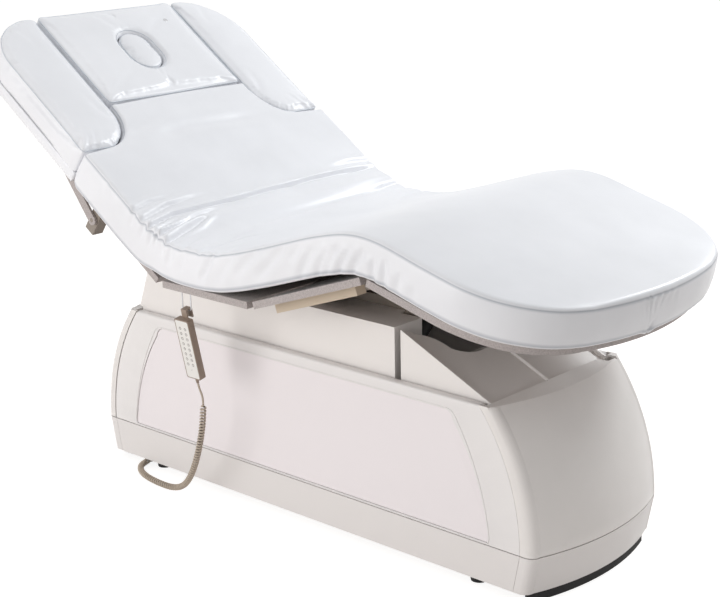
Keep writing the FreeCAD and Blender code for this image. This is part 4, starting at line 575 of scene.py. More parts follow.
def make_keys():
    """Two columns of small ringed keys on the handset's front foil, each with a plain arrow or bar."""
    verts, faces, mats = [], [], []

    def lift(dx, z, rise):
        x, y, height = hand_point(0.12 - rise, z)
        return cab(x + dx, y, height)

    def shape(points):
        start = len(verts)
        verts.extend(points)
        faces.append(tuple(range(start, start + len(points))))
        mats.append(1)

    for row in range(KEY_ROWS):
        for side in (-1, 1):
            dx, z = KEY_ASIDE * side, FIRST_KEY - KEY_PITCH * row
            start = len(verts)
            spots, made, bands = turned(KEY_PROFILE, 20, lambda a, b, rise: lift(dx + a, z + b, rise))
            verts.extend(spots)
            faces.extend(tuple(start + k for k in face) for face in made)
            mats.extend(int(band in RING_BANDS) for band in bands)
            if row < ARROW_ROWS:
                mark = [(-1.1, -0.7 * side), (1.1, -0.7 * side), (0.0, 1.0 * side)]
            else:
                mark = [(-1.1, -0.3), (1.1, -0.3), (1.1, 0.3), (-1.1, 0.3)]
            shape([lift(dx + a, z + b, MARK_RISE) for a, b in mark])
    around = [2 * math.pi * k / 12 for k in range(12)]
    shape([lift(DOT_RADIUS * math.cos(t), DOT_PLACE + DOT_RADIUS * math.sin(t), 0.06) for t in around])
    mesh = make_mesh("handset_keys", verts, faces, mats)
    bm = bmesh.new()
    bm.from_mesh(mesh)
    bmesh.ops.recalc_face_normals(bm, faces=bm.faces)
    toward = Vector(lift(0, -60, 10)) - Vector(lift(0, -60, 0))
    for face in bm.faces:
        if face.normal.dot(toward) < 0 and len(face.verts) != 4:
            face.normal_flip()
    bm.to_mesh(mesh)
    bm.free()
    piece = finish_piece("handset_keys", mesh, MATS["foil_grey"], KEY_INK)
    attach(piece, "handset")


make_keys()


# Mattress: one long body on a curved path, cut into three at places that do not bend

# The underside as seen from the side, in cabinet mm.
PATH = [
    (-653.3, 842.5), (-590, 798.0), (-545, 766.4), (-470, 713.8), (-400, 664.8), (-340, 624.5), (-290, 595.5),
    (-239, 578.5), (-183, 571.5), (-110, 571), (-52, 576), (11, 590), (70, 607), (116, 621), (195, 647),
    (247, 664), (320, 682), (360, 685.5), (400, 679), (440, 667.5), (480, 655.5), (560, 633.5), (650, 607.5),
    (730, 586.8), (804.5, 567.5),
]
# Path length and half width of the back and seat sections.
OUTLINE = [
    (0, 200), (0, 219.5), (29.5, 219.5), (62, 227), (95.5, 243), (120, 270), (131, 300), (138.5, 394),
    (150, 395),
]
# Guide points of the leg section's outline; a smooth curve runs through all but the first and the last.
LEG_CURVE = [(1180, 395), (1281, 395), (1361, 388), (1441, 355), (1505, 293), (1541, 212), (1562, 120)]
THICK = 88.0

path = softened(PATH, 2.0, 16.0)
path_q = along(path)
path_way = np.gradient(path, path_q, axis=0)
path_way /= np.linalg.norm(path_way, axis=1)[:, None]


def on_path(q, y, n):
    """Row-frame points from path length, side and height above the path, in mm."""
    x, z = np.interp(q, path_q, path[:, 0]), np.interp(q, path_q, path[:, 1])
    tx, tz = np.interp(q, path_q, path_way[:, 0]), np.interp(q, path_q, path_way[:, 1])
    return np.stack([(x - tz * n) * MM + CAB_X, y * MM, (z + tx * n) * MM], axis=-1)


def crease(q, y, line, deep, wide, lift, fade, lean=0.0):
    """A fold along a polyline: a valley with soft ridges beside it."""
    best = np.full(q.shape, 1e9)
    side = np.zeros(q.shape)
    share = np.zeros(q.shape)
    line = np.array(line, float)
    runs = np.hypot(*np.diff(line, axis=0).T)
    total = runs.sum()
    done = 0.0
    for (aq, ay), (bq, by), run in zip(line[:-1], line[1:], runs):
        uq, uy = (bq - aq) / run, (by - ay) / run
        t = np.clip((q - aq) * uq + (y - ay) * uy, 0.0, run)
        dq, dy = q - aq - t * uq, y - ay - t * uy
        gap = np.hypot(dq, dy)
        nearer = gap < best
        best = np.where(nearer, gap, best)
        side = np.where(nearer, np.sign(uq * dy - uy * dq), side)
        share = np.where(nearer, (done + t) / total, share)
        done += run
    envelope = np.ones(q.shape)
    if fade[0]:
        envelope *= smooth(share, 0.0, fade[0])
    if fade[1]:
        envelope *= smooth(1.0 - share, 0.0, fade[1])
    valley = -deep * np.exp(-(best / wide) ** 2)
    ridge = lift * deep * np.exp(-((best - 2.3 * wide) / (1.4 * wide)) ** 2)
    return envelope * (valley + ridge * (1 + lean * side))


# Creases of the top: points (path length, side), depth, width, ridge, fade at either end, lean if any.
TOP_FOLDS = [
    ([(407, -396), (385, -306), (385, -179), (381, -10), (375, 205), (382, 396)],
     7.5, 4.6, 0.5, (0.0, 0.1), 0.5),
    ([(340, -396), (328, -340), (325, -292), (330, -240)], 3.6, 5.0, 0.7, (0.0, 0.6)),
    ([(376, -396), (350, -296), (343, -209), (349, -137)], 4.6, 5.5, 0.7, (0.0, 0.6)),
    ([(460, -396), (415, -275), (402, -191), (397, -120)], 6.0, 6.0, 0.6, (0.0, 0.55)),
    ([(498, -396), (458, -284), (415, -215), (408, -160)], 6.0, 7.0, 0.6, (0.0, 0.5)),
    ([(432, -396), (404, -300), (394, -235)], 3.4, 5.0, 0.6, (0.0, 0.6)),
    ([(640, -396), (590, -270), (534, -153), (520, 19), (503, 202), (484, 396)],
     4.4, 19.0, 0.45, (0.05, 0.1)),
    ([(622, -396), (626, -320), (630, -250), (657, -178)], 3.4, 7.0, 0.6, (0.0, 0.7)),
    ([(566, -396), (530, -330), (505, -250)], 3.4, 7.0, 0.5, (0.0, 0.7)),
    ([(352, 396), (345, 320), (350, 226)], 3.8, 6.0, 0.6, (0.0, 0.6)),
    ([(484, 396), (490, 330), (510, 240)], 4.2, 7.0, 0.6, (0.0, 0.6)),
    ([(530, 396), (534, 330), (560, 240)], 3.4, 8.0, 0.6, (0.0, 0.6)),
    ([(594, 396), (604, 315), (650, 200)], 3.4, 8.0, 0.5, (0.0, 0.7)),
    ([(700, -396), (690, -330), (670, -270)], 1.8, 9.0, 0.5, (0.0, 0.7)),
    ([(820, 396), (800, 330), (790, 260)], 1.8, 10.0, 0.5, (0.0, 0.7)),
    ([(104, -250), (90, -170), (68, -105)], 2.8, 14.0, 0.7, (0.3, 0.5)),
    ([(140, -230), (122, -60), (130, 71), (126, 250)], 3.2, 17.0, 0.7, (0.25, 0.35)),
    ([(60, -120), (50, 20), (60, 150)], 1.6, 22.0, 0.5, (0.5, 0.5)),
    ([(250, -150), (262, 20), (240, 170)], 1.4, 26.0, 0.5, (0.5, 0.5)),
    ([(1200, 120), (1330, 90), (1450, 60)], 1.0, 34.0, 0.5, (0.5, 0.5)),
]
# Gathers on the long side walls, as path length and height from bottom to top.
SIDE_FOLDS = [
    ([(232, 84), (262, 38)], 1.6, 7.0), ([(340, 92), (358, 52)], 2.8, 6.0),
    ([(386, 92), (398, 50)], 3.2, 6.0), ([(416, 92), (436, 50)], 3.8, 6.0),
    ([(440, 94), (458, 66)], 3.0, 5.0), ([(470, 90), (484, 48)], 2.2, 7.0),
    ([(524, 82), (511, 32)], 3.4, 7.0), ([(570, 84), (560, 30)], 2.2, 8.0),
    ([(684, 92), (645, 46), (618, 16)], 5.0, 6.0), ([(760, 88), (710, 50), (676, 20)], 2.6, 8.0),
    ([(860, 92), (794, 62), (736, 28)], 4.6, 8.0), ([(924, 78), (858, 44), (800, 18)], 4.4, 8.0),
    ([(968, 74), (920, 40)], 3.4, 7.0), ([(1010, 66), (965, 28), (930, -4)], 4.2, 7.0),
    ([(1046, 60), (1010, 24), (984, -8)], 4.8, 6.0), ([(1074, 64), (1036, 28), (1006, -8)], 5.2, 6.0),
    ([(1094, 56), (1062, 16), (1044, -8)], 5.2, 5.5), ([(1122, 60), (1096, 15), (1086, -8)], 5.0, 6.0),
    ([(1146, 50), (1143, 10), (1140, -8)], 4.2, 6.0), ([(1165, 60), (1174, 24), (1172, -8)], 3.8, 6.0),
    ([(1211, 50), (1206, 4)], 2.6, 7.0), ([(1252, 40), (1244, 6)], 1.8, 8.0),
    ([(300, 74), (310, 26)], 1.2, 12.0),
]
# The end seam of the leg section with its gathers, as width and height.
END_FOLDS = [
    ([(-38, -8), (-46, 40), (-58, 92)], 5.0, 2.6), ([(-36, 6), (-34, 46), (-34, 86)], 3.8, 4.0),
    ([(-33, 8), (-20, 50), (-6, 86)], 3.8, 4.5), ([(-30, 12), (-2, 54), (22, 84)], 3.2, 5.0),
    ([(-26, 16), (16, 56), (50, 82)], 1.8, 6.0), ([(-44, 18), (-64, 60), (-74, 86)], 1.8, 4.0),
]


def top_shape(q, y, w):
    """Height over the plain thickness: crown, broad folds and creases."""
    v = np.clip(np.abs(y) / w, 0, 1)
    rise = 5.5 * (1 - v ** 2.4)
    rise = rise + 8.5 * np.exp(-((q - 440) / 32.0) ** 2) * (0.6 + 0.4 * v)
    rise = rise - 3.0 * np.exp(-((q - 520) / 34.0) ** 2) - 2.0 * np.exp(-((q - 350) / 34.0) ** 2)
    rise = rise + 1.3 * np.sin(q / 61.0 + y / 150.0) * np.exp(-((q - 190) / 130.0) ** 2)
    rise = rise + 0.9 * np.sin(q / 83.0 - y / 90.0 + 1.1) * smooth(q, 700, 1000)
    for fold in TOP_FOLDS:
        rise = rise + crease(q, y, *fold)
    return rise


def side_shape(q, n, sign):
    push = np.zeros(q.shape)
    for line, deep, wide in SIDE_FOLDS:
        moved = [(a if sign < 0 else a + 11.0 * math.sin(a * 0.05), b) for a, b in line]
        push = push + crease(q, n, moved, deep, wide, 0.5, (0.15, 0.3))
    return push


def end_shape(y, n):
    push = np.zeros(y.shape)
    for line, deep, wide in END_FOLDS:
        push = push + crease(y, n, line, deep, wide, 0.5, (0.0, 0.2))
    return push


# Rings down from the rim of the top, as inset and drop, with the share of painted seam shade on three of
# them.
RIM = [(13.5, 0.0), (9.6, -0.7), (6.4, -2.1), (4.1, -4.2), (3.2, -5.6), (3.6, -6.6), (2.2, -7.6),
       (0.9, -10.6), (0.2, -14.2)]
RIM_SEAM_SHADE = {5: 0.9, 4: 0.5, 6: 0.5}
WALL_RINGS = 9
WALL_SWELL = 2.2
# Rings at the foot of the wall, as inset, height and share of the skirt that hangs lower along the back.
HEM = [(0.6, 7.0, 1.0), (2.6, 2.8, 1.0), (5.6, 0.4, 1.0), (9.0, 0.6, 0.6), (12.0, 2.2, 0.2)]
SKIRT = 11.0
COLUMNS = 141
# Path lengths of the two cuts.
CUTS = (616, 937)
MATTRESS_PARTS = [
    ("mattress_back_part", ("backrest", "lift"), (-395, 661), (-168, 571),
     ["mattress_back", "mattress_hip_bend"]),
    ("mattress_seat_part", ("lift", "thigh"), (-60, 575), (150, 632),
     ["mattress_seat", "mattress_valley_bend"]),
    ("mattress_leg_part", ("thigh", "leg"), (240, 661), (485, 655),
     ["mattress_thigh", "mattress_knee_bend", "mattress_leg"]),
]


class Mattress:
    """The whole mattress: a grid of points on top and one below, with rings of points down its wall."""

    def __init__(self):
        side = softened(OUTLINE + through(LEG_CURVE), 4.6, 7.0)
        side[:, 0] = np.maximum.accumulate(side[:, 0] + np.arange(len(side)) * 1e-4)
        end_q, self.half = side.T
        self.rows = rows = len(side)
        self.mid_q = self.middle_line(end_q, along(side))
        v = np.linspace(-1, 1, COLUMNS)
        self.v = v = np.sign(v) * (1 - (1 - np.abs(v)) ** 1.12)
        self.q = self.mid_q[:, None] + (end_q - self.mid_q)[:, None] * (v ** 2)[None, :]
        self.y = self.half[:, None] * v[None, :]
        loop = [(i, 0) for i in range(rows)] + [(rows - 1, j) for j in range(1, COLUMNS)]
        loop += [(i, COLUMNS - 1) for i in range(rows - 2, -1, -1)]
        loop += [(0, j) for j in range(COLUMNS - 2, 0, -1)]
        self.li, self.lj = np.array(loop).T
        self.edge = np.stack([self.q[self.li, self.lj], self.y[self.li, self.lj]], axis=1)
        out = loop_out(self.edge)
        self.out = sum(weight * np.roll(out, k, axis=0) for k, weight in zip(range(-8, 9), bell(8, 2.4)))
        self.build_skin()
        self.build_faces()

    @staticmethod
    def middle_line(end_q, length):
        """Path length of each row at the mattress's middle, where the ends are straight."""
        places = [29.5, 262.0, 1400.0]
        keys_l = [0.0, *np.interp(places, end_q, length), length[-1]]
        keys_q = [0.0, *places, path_q[-1] - 0.4]
        return np.maximum.accumulate(eased(np.interp(length, keys_l, keys_q), 14, 5.0))

    def ring(self, inset):
        return self.edge - self.out * inset

    def inset_grid(self, inset):
        """The whole grid drawn in so that its border meets a ring."""
        rows, li, lj = self.rows, self.li, self.lj
        shift = self.ring(inset) - self.edge
        near, far = np.zeros((2, rows, 2))
        head, foot = np.zeros((2, COLUMNS, 2))
        for border, at, here in ((near, li, lj == 0), (far, li, lj == COLUMNS - 1),
                                 (head, lj, li == 0), (foot, lj, li == rows - 1)):
            border[at[here]] = shift[here]
        weight = ((1 - self.v) / 2)[None, :, None]
        across = near[:, None, :] * weight + far[:, None, :] * (1 - weight)
        across[:, :, 0] *= (self.v ** 2)[None, :]
        for row, target in ((0, head), (rows - 1, foot)):
            miss = target - across[row]
            fall = np.clip(1 - np.abs(np.arange(rows) - row) / 26.0, 0, 1)
            across += miss[None, :, :] * fall[:, None, None]
            across[:, 0], across[:, -1] = near, far
        return self.q + across[:, :, 0], self.y + across[:, :, 1]

    def profiles(self, edge_rise):
        """Inset, height and seam colour of each ring below the rim of the top."""
        q, y = self.edge.T
        hang = SKIRT * (1 - smooth(q, 395, 470)) * smooth(q, 128, 160) * smooth(np.abs(y), 380, 392)
        made = []
        for k, (inset, drop) in enumerate(RIM[1:], 1):
            rise = edge_rise * (1 - k / len(RIM)) ** 1.3
            made.append((inset, THICK + drop + rise, RIM_SEAM_SHADE.get(k, 0.0)))
        inset, top_wall, low_wall = RIM[-1][0], THICK + RIM[-1][1], HEM[0][1]
        for k in range(1, WALL_RINGS):
            share = k / WALL_RINGS
            level = top_wall + (low_wall - top_wall) * share
            made.append((inset - WALL_SWELL * math.sin(math.pi * share), level - hang * share, 0.0))
        for k, (inset, level, back) in enumerate(HEM):
            # The first hem ring carries the seam mark: a real seam at the foot of the wall, darkened with
            # painted shade.
            made.append((inset, level - hang * back, 0.0 if k else 0.8))
        return made

    def build_skin(self):
        size, count = self.rows * COLUMNS, len(self.edge)
        q, y = self.inset_grid(RIM[0][0])
        height = THICK + top_shape(q, y, np.maximum(self.half[:, None], 30.0))
        self.top = np.arange(size).reshape(self.rows, COLUMNS)
        self.rings = [self.top[self.li, self.lj]]
        verts, seam = [on_path(q, y, height).reshape(-1, 3)], [np.zeros(size)]
        offset, width = size, np.abs(self.edge[:, 1])
        for inset, level, mark in self.profiles(height[self.li, self.lj] - THICK):
            spot = self.ring(inset)
            level = level * np.ones(count)
            push = np.zeros(count)
            for sign, mine in ((-1, self.edge[:, 1] < -200), (1, self.edge[:, 1] > 200)):
                push[mine] = side_shape(spot[mine, 0], level[mine], sign)
            ends = (self.edge[:, 0] > 1500) & (width < 200)
            push[ends] = end_shape(spot[ends, 1], level[ends])
            spot = spot + self.out * push[:, None]
            verts.append(on_path(np.clip(spot[:, 0], 0, path_q[-1] + 5), spot[:, 1], level))
            seam.append(np.full(count, mark))
            self.rings.append(np.arange(offset, offset + count))
            offset += count
        q, y = self.inset_grid(14.0)
        verts.append(on_path(q, y, np.full(q.shape, 0.2)).reshape(-1, 3))
        seam.append(np.zeros(size))
        self.low = np.arange(offset, offset + size).reshape(self.rows, COLUMNS)
        self.rings.append(self.low[self.li, self.lj])
        self.verts, self.seam = np.concatenate(verts), np.concatenate(seam)

    def build_faces(self):
        """Faces with their row and material slot, and one normal for each point."""
        top, low, last = self.top, self.low, self.rows - 2
        quads, row_of, mat_of = [], [], []
        for i in range(last + 1):
            for j in range(COLUMNS - 1):
                quads.append((top[i, j], top[i + 1, j], top[i + 1, j + 1], top[i, j + 1]))
                quads.append((low[i, j], low[i, j + 1], low[i + 1, j + 1], low[i + 1, j]))
                row_of += [i, i]
                mat_of += [0, 1]
        for upper, lower in zip(self.rings, self.rings[1:]):
            for k in range(len(upper)):
                m = (k + 1) % len(upper)
                quads.append((upper[k], lower[k], lower[m], upper[m]))
                row_of.append(min(self.li[k], self.li[m], last))
                mat_of.append(0)
        self.quads, self.row_of, self.mat_of = np.array(quads), np.array(row_of), np.array(mat_of)
        a, b, c, e = (self.verts[self.quads[:, k]] for k in range(4))
        facing = np.cross(c - a, e - b)
        normals = np.zeros_like(self.verts)
        for k in range(4):
            np.add.at(normals, self.quads[:, k], facing)
        self.normals = normals / np.maximum(np.linalg.norm(normals, axis=1), 1e-12)[:, None]

    def rim(self, row):
        """Point numbers round the section at a row."""
        far = (self.rows - 1) + (COLUMNS - 1) + (self.rows - 1 - row)
        down = [ring[far] for ring in self.rings[1:-1]]
        up = [ring[row] for ring in self.rings[1:-1]]
        return [*self.top[row], *down, *self.low[row][::-1], *up[::-1]]

    def cut(self, name, low, high):
        """The piece between two rows, closed where it was cut."""
        mine = (self.row_of >= low) & (self.row_of < high)
        used, where = np.unique(self.quads[mine], return_inverse=True)
        faces = where.reshape(-1, 4).tolist()
        place = {int(number): k for k, number in enumerate(used)}
        if low > 0:
            faces.append([place[int(number)] for number in self.rim(low)])
        if high < self.rows - 1:
            faces.append([place[int(number)] for number in self.rim(high)][::-1])
        mats = self.mat_of[mine].tolist() + [1] * (len(faces) - int(mine.sum()))
        mesh = make_mesh(name, self.verts[used], faces, mats)
        mark = mesh.attributes.new("seam", "FLOAT", "POINT")
        mark.data.foreach_set("value", self.seam[used].astype(np.float32))
        mesh.update()
        mesh.normals_split_custom_set_from_vertices([tuple(p) for p in self.normals[used]])
        return finish_piece(name, mesh, LEATHER, UNDER)


def build_mattress():
    whole = Mattress()
    cuts = [0, *(int(np.argmin(np.abs(whole.mid_q - place))) for place in CUTS), whole.rows - 1]
    for (name, bodies, start, end, nodes), low, high in zip(MATTRESS_PARTS, cuts, cuts[1:]):
        piece = whole.cut(name, low, high)
        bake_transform(piece)
        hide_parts(*nodes)


build_mattress()


# Head and arm cushions

BACK_LEAN = math.radians(35.0)
BACK_COS, BACK_SIN = math.cos(BACK_LEAN), math.sin(BACK_LEAN)
BACK_X, BACK_Z = -264.0, 559.0
PAD_VOXEL = 0.0044
PAD_TRAVEL = 4.0
PAD_FRAMES = 20
CLOTH = {"use_pressure": True, "uniform_pressure_force": 4.0, "tension_stiffness": 12,
         "compression_stiffness": 12, "bending_stiffness": 0.6}


def from_back(spots):
    """Row-frame points from the back section's (length, side, height) in mm."""
    s, y, n = spots.T
    return np.stack([(BACK_X - s * BACK_COS + n * BACK_SIN) * MM + CAB_X, y * MM,
                     (BACK_Z + s * BACK_SIN + n * BACK_COS) * MM], axis=1)


def on_back(s, y, n):
    return Vector(from_back(np.array([[s, y, n]], float))[0])


def back_coords(points):
    """Back-section (length, side, height) in mm of row-frame points."""
    x = (points[:, 0] - CAB_X) / MM - BACK_X
    z = points[:, 2] / MM - BACK_Z
    return np.stack([-x * BACK_COS + z * BACK_SIN, points[:, 1] / MM, x * BACK_SIN + z * BACK_COS], axis=1)


def back_rings(bm, loop, profile):
    """Rings of points on the back section: an outline drawn in by each step, at its level."""
    out = loop_out(loop)
    return [[bm.verts.new(on_back(s, y, level)) for s, y in loop - out * step] for step, level in profile]


def join_rings(bm, rings):
    """Faces between neighbouring rings."""
    made = []
    for upper, lower in zip(rings, rings[1:]):
        for k in range(len(upper)):
            m = (k + 1) % len(upper)
            made.append(bm.faces.new((upper[k], upper[m], lower[m], lower[k])))
    return made


def slab(name, loop, low, high, hole):
    """Closed prism with eased rims on the back section, ready to be remeshed."""
    bm = bmesh.new()
    profile = [(4.4, low), (3.0, low + 2.0), (1.0, low + 3.4),
               (1.0, high - 3.4), (3.4, high - 2.4), (4.4, high)]
    walls = [back_rings(bm, loop, profile)]
    if hole is not None:
        walls.append(back_rings(bm, hole, [(-step, level) for step, level in profile]))
    for wall in walls:
        join_rings(bm, wall)
    for level in (0, -1):
        edges = []
        for row in (wall[level] for wall in walls):
            for pair in zip(row, row[1:] + row[:1]):
                edges.append(bm.edges.get(pair) or bm.edges.new(pair))
        bmesh.ops.triangle_fill(bm, edges=edges, use_beauty=True)
    bmesh.ops.recalc_face_normals(bm, faces=bm.faces)
    mesh = bpy.data.meshes.new(name)
    bm.to_mesh(mesh)
    bm.free()
    return finish_piece(name, mesh, LEATHER)


def apply_modifier(piece, kind, **props):
    """Adds a modifier with the given properties and applies it."""
    modifier = piece.modifiers.new(kind.title(), kind)
    for key, value in props.items():
        setattr(modifier, key, value)
    depsgraph = bpy.context.evaluated_depsgraph_get()
    mesh = bpy.data.meshes.new_from_object(piece.evaluated_get(depsgraph))
    old = piece.data
    piece.modifiers.clear()
    piece.data = mesh
    bpy.data.meshes.remove(old)
    mesh.name = piece.name


def puff(piece):
    """Points of a pad swelled by a short cloth simulation, its travel capped."""
    apply_modifier(piece, "REMESH", mode="VOXEL", voxel_size=PAD_VOXEL)
    apply_modifier(piece, "SMOOTH", factor=0.5, iterations=2)
    rest = np.array([v.co for v in piece.data.vertices])
    cloth = piece.modifiers.new("Cloth", "CLOTH")
    for key, value in CLOTH.items():
        setattr(cloth.settings, key, value)
    cloth.settings.effector_weights.gravity = 0.0
    cloth.point_cache.frame_start = 1
    cloth.point_cache.frame_end = PAD_FRAMES
    for number in range(1, PAD_FRAMES + 1):
        scene.frame_set(number)
    depsgraph = bpy.context.evaluated_depsgraph_get()
    shaped = np.array([v.co for v in piece.evaluated_get(depsgraph).data.vertices])
    piece.modifiers.clear()
    scene.frame_set(1)
    move = shaped - rest
    size = np.linalg.norm(move, axis=1)
    return rest + move * np.minimum(1.0, PAD_TRAVEL * MM / np.maximum(size, 1e-9))[:, None]


def near_loop(spots, loop):
    """Distance of (length, side) points from a closed outline."""
    best = np.full(len(spots), 1e9)
    for a, b in zip(loop, np.roll(loop, -1, axis=0)):
        run = b - a
        t = np.clip(((spots - a) @ run) / max(run @ run, 1e-9), 0, 1)
        best = np.minimum(best, np.linalg.norm(spots - a - t[:, None] * run, axis=1))
    return best


def cushion(name, body, node, loop, low, high, crown, folds, limit, hole=None):
    """A pad between two levels: swelled, crowned towards its middle, creased and kept inside its limit."""
    piece = slab(name, loop, low + 1.0, high - 3.0, hole)
    spots = back_coords(puff(piece))
    inward = near_loop(spots[:, :2], loop)
    if hole is not None:
        inward = np.minimum(inward, near_loop(spots[:, :2], hole) * 5.0)
    upper = smooth(spots[:, 2], 0.5 * (low + high) + 14, high - 8)
    spots[:, 2] += upper * crown * smooth(inward, 2.0, 80.0)
    for fold in folds:
        spots[:, 2] += upper * crease(spots[:, 0], spots[:, 1], *fold)
    spots[:, 2] = np.maximum(spots[:, 2], low + 0.3)
    limit(spots)
    piece.data.vertices.foreach_set("co", from_back(spots).astype(np.float32).ravel())
    piece.data.update()
    apply_modifier(piece, "SUBSURF", levels=1, render_levels=1)
    shade_smooth(piece.data)
    piece.data.materials.clear()
    piece.data.materials.append(LEATHER)
    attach(piece, body)
    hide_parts(node)
    return piece


def skin_of(piece):
    return BVHTree.FromObject(piece, bpy.context.evaluated_depsgraph_get())


def piping(name, body, piece, loop, level, radius, sink=0.35):
    """A sewn edge roll that lies on a cushion's skin, along an outline at about the given level."""
    tree = skin_of(piece)
    line = []
    for s, y in loop:
        spot, normal = tree.find_nearest(on_back(s, y, level))[:2]
        line.append(np.array(spot + normal * radius * MM * (1 - 2 * sink)))
    line = np.array(line)
    for _ in range(3):
        line = 0.5 * line + 0.25 * (np.roll(line, 1, axis=0) + np.roll(line, -1, axis=0))
    # The darker piping leather paints shade along the sewn edge.
    edge = tube(name, line, radius * MM, PIPING_SHADE_LEATHER, closed=True)
    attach(edge, body)


STUD_PROFILE = [(0.0, 1.3), (3.2, 1.2), (4.2, 0.6), (4.9, 1.1), (6.0, 0.8), (6.6, 0.0), (6.6, -1.4)]


def press_stud(piece, s, y):
    """A small pressed metal stud with a rolled rim, let into the cushion's skin."""
    spot = skin_of(piece).find_nearest(on_back(s, y, 104.0))[0]
    level = back_coords(np.array([spot]))[0, 2] - 0.3
    verts, faces = turned(STUD_PROFILE, 24, lambda a, b, rise: on_back(s + a, y + b, level + rise))[:2]
    stud = finish_piece("headrest_stud", make_mesh("headrest_stud", verts, faces), MATS["zinc_steel"])
    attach(stud, "headrest")


# Underside and top of the cushions, and the middle of the face opening, on the back section.
LOW, HIGH = 8.3, 98.3
OPENING_S = 648.0
HEAD_LOOP = rounded_loop([(484.5, -218), (817, -218), (817, 218), (484.5, 218)], (9, 12, 12, 9))
HEAD_FOLDS = [
    ([(700, 60), (740, 120), (770, 190)], 1.4, 9.0, 0.5, (0.3, 0.4)),
    ([(590, -60), (550, -120), (520, -190)], 1.2, 10.0, 0.5, (0.3, 0.4)),
    ([(725, -20), (770, -40), (808, -70)], 1.4, 8.0, 0.5, (0.3, 0.3)),
]


def head_limit(spots):
    """Keeps the head cushion clear of its neighbours."""
    spots[:, 0] = np.clip(spots[:, 0], 484.6, 821)
    spots[:, 1] = np.clip(spots[:, 1], -219.4, 219.4)


def make_head():
    hole = oval(OPENING_S, 68.6, 46.6)
    head = cushion("headrest_pad", "headrest", "headrest_cushion", HEAD_LOOP, LOW, HIGH, 4.5, HEAD_FOLDS,
                   head_limit, hole)
    piping("headrest_piping", "headrest", head, HEAD_LOOP, 92.5, 1.6)
    piping("headrest_opening_seam", "headrest", head, oval(OPENING_S, 76.0, 54.0), 96.0, 1.0, 0.45)
    press_stud(head, 734.0, 142.0)


def arm_loop(sign):
    """Outline of an arm cushion, bowed at the outer head corner and at the inner seat corner."""
    points = [(817, -221), (817, -256)] + bowed((817, -262), (655, -390), 40.0) + [(655, -390), (349, -390)]
    points += bowed((349, -300.5), (455, -221), 21.0)
    kept = [points[0]] + [b for a, b in zip(points, points[1:]) if np.hypot(a[0] - b[0], a[1] - b[1]) > 3]
    radii = [4.0] * len(kept)
    radii[0] = 14.0
    radii[kept.index((349, -390))] = 7.0
    loop = rounded_loop(kept, radii, 4.0)
    loop[:, 1] *= -sign
    return loop


def arm_limit(sign):
    """Keeps an arm cushion clear of the head cushion and the back section."""
    def limit(spots):
        spots[:, 1] = np.clip(spots[:, 1] * sign, 220.4, 395.0) * sign
        spots[:, 0] = np.maximum(spots[:, 0], 348.0)
        spots[:, 2] = np.minimum(spots[:, 2], 99.5)
    return limit


def under_wrap(piece, loop):
    """Adds the cover's lower hem, drawn in round the tray's edge and under it."""
    outer = [(2.4, 26.0), (0.9, 20.0), (0.5, 12.0), (0.9, 6.0), (2.4, 1.0), (5.0, -4.5), (7.2, -8.6),
             (9.2, -9.8), (24.0, -10.0)]
    inner = [(23.6, -8.3), (9.4, -8.3), (7.7, -7.4), (6.0, -3.4), (3.8, 2.4), (2.4, 8.3), (2.2, 14.0),
             (3.4, 24.0)]
    bm = bmesh.new()
    bm.from_mesh(piece.data)
    rings = back_rings(bm, loop, outer + inner)
    made = join_rings(bm, rings + rings[:1])
    bmesh.ops.recalc_face_normals(bm, faces=made)
    for face in made:
        face.smooth = True
    bm.to_mesh(piece.data)
    bm.free()


def make_arm(side, sign):
    loop = arm_loop(sign)
    folds = [
        ([(352, 372 * sign), (385, 350 * sign), (430, 340 * sign)], 2.4, 6.0, 0.6, (0.0, 0.6)),
        ([(352, 350 * sign), (380, 335 * sign), (415, 320 * sign)], 2.2, 6.0, 0.6, (0.0, 0.6)),
        ([(374, 386 * sign), (400, 362 * sign), (445, 350 * sign)], 2.0, 6.0, 0.6, (0.0, 0.6)),
        ([(420, 240 * sign), (470, 262 * sign), (540, 270 * sign)], 1.6, 9.0, 0.5, (0.1, 0.6)),
        ([(780, 300 * sign), (740, 285 * sign), (690, 290 * sign)], 1.4, 9.0, 0.5, (0.1, 0.6)),
    ]
    arm = cushion(f"armrest_pad_{side}", f"armrest_{side}", f"armrest_cushion_{side}", loop, LOW, HIGH - 3.5,
                  3.0, folds, arm_limit(sign))
    piping(f"armrest_piping_{side}", f"armrest_{side}", arm, loop, 88.5, 1.4)
    under_wrap(arm, loop)


PLUG_REACH = 45.3
PLUG_FLAT = 22.0
PLUG_FOLDS = 26


def plug_limit(spots):
    """Keeps the plug inside its opening."""
    s, y = spots[:, 0] - OPENING_S, spots[:, 1]
    core = np.clip(s, -PLUG_FLAT, PLUG_FLAT)
    shrink = np.minimum(1.0, PLUG_REACH / np.maximum(np.hypot(s - core, y), 1e-6))
    spots[:, 0] = OPENING_S + core + (s - core) * shrink
    spots[:, 1] = y * shrink
    spots[:, 2] = np.minimum(spots[:, 2], 102.0)


def make_plug():
    loop = oval(OPENING_S, 67.5, 45.5)
    folds = []
    for k in range(PLUG_FOLDS):
        angle = 2 * math.pi * k / PLUG_FOLDS
        line = [(OPENING_S + math.copysign(shift, math.cos(angle)) + reach * math.cos(angle),
                 reach * math.sin(angle)) for shift, reach in ((22, 44), (18, 26))]
        folds.append((line, 1.5, 2.6, 0.3, (0.0, 0.6)))
    plug = cushion("face_plug_pad", "face_plug", "face_plug", loop, LOW + 3.0, HIGH + 0.5, 3.5, folds,
                   plug_limit)
    piping("face_plug_piping", "face_plug", plug, loop, 95.0, 1.2, 0.5)


FIELD_FACE = 230.2
BEAD_GAP, BEAD_RADIUS = 2.6, 1.3
SIDES = (("near", -1), ("far", 1))


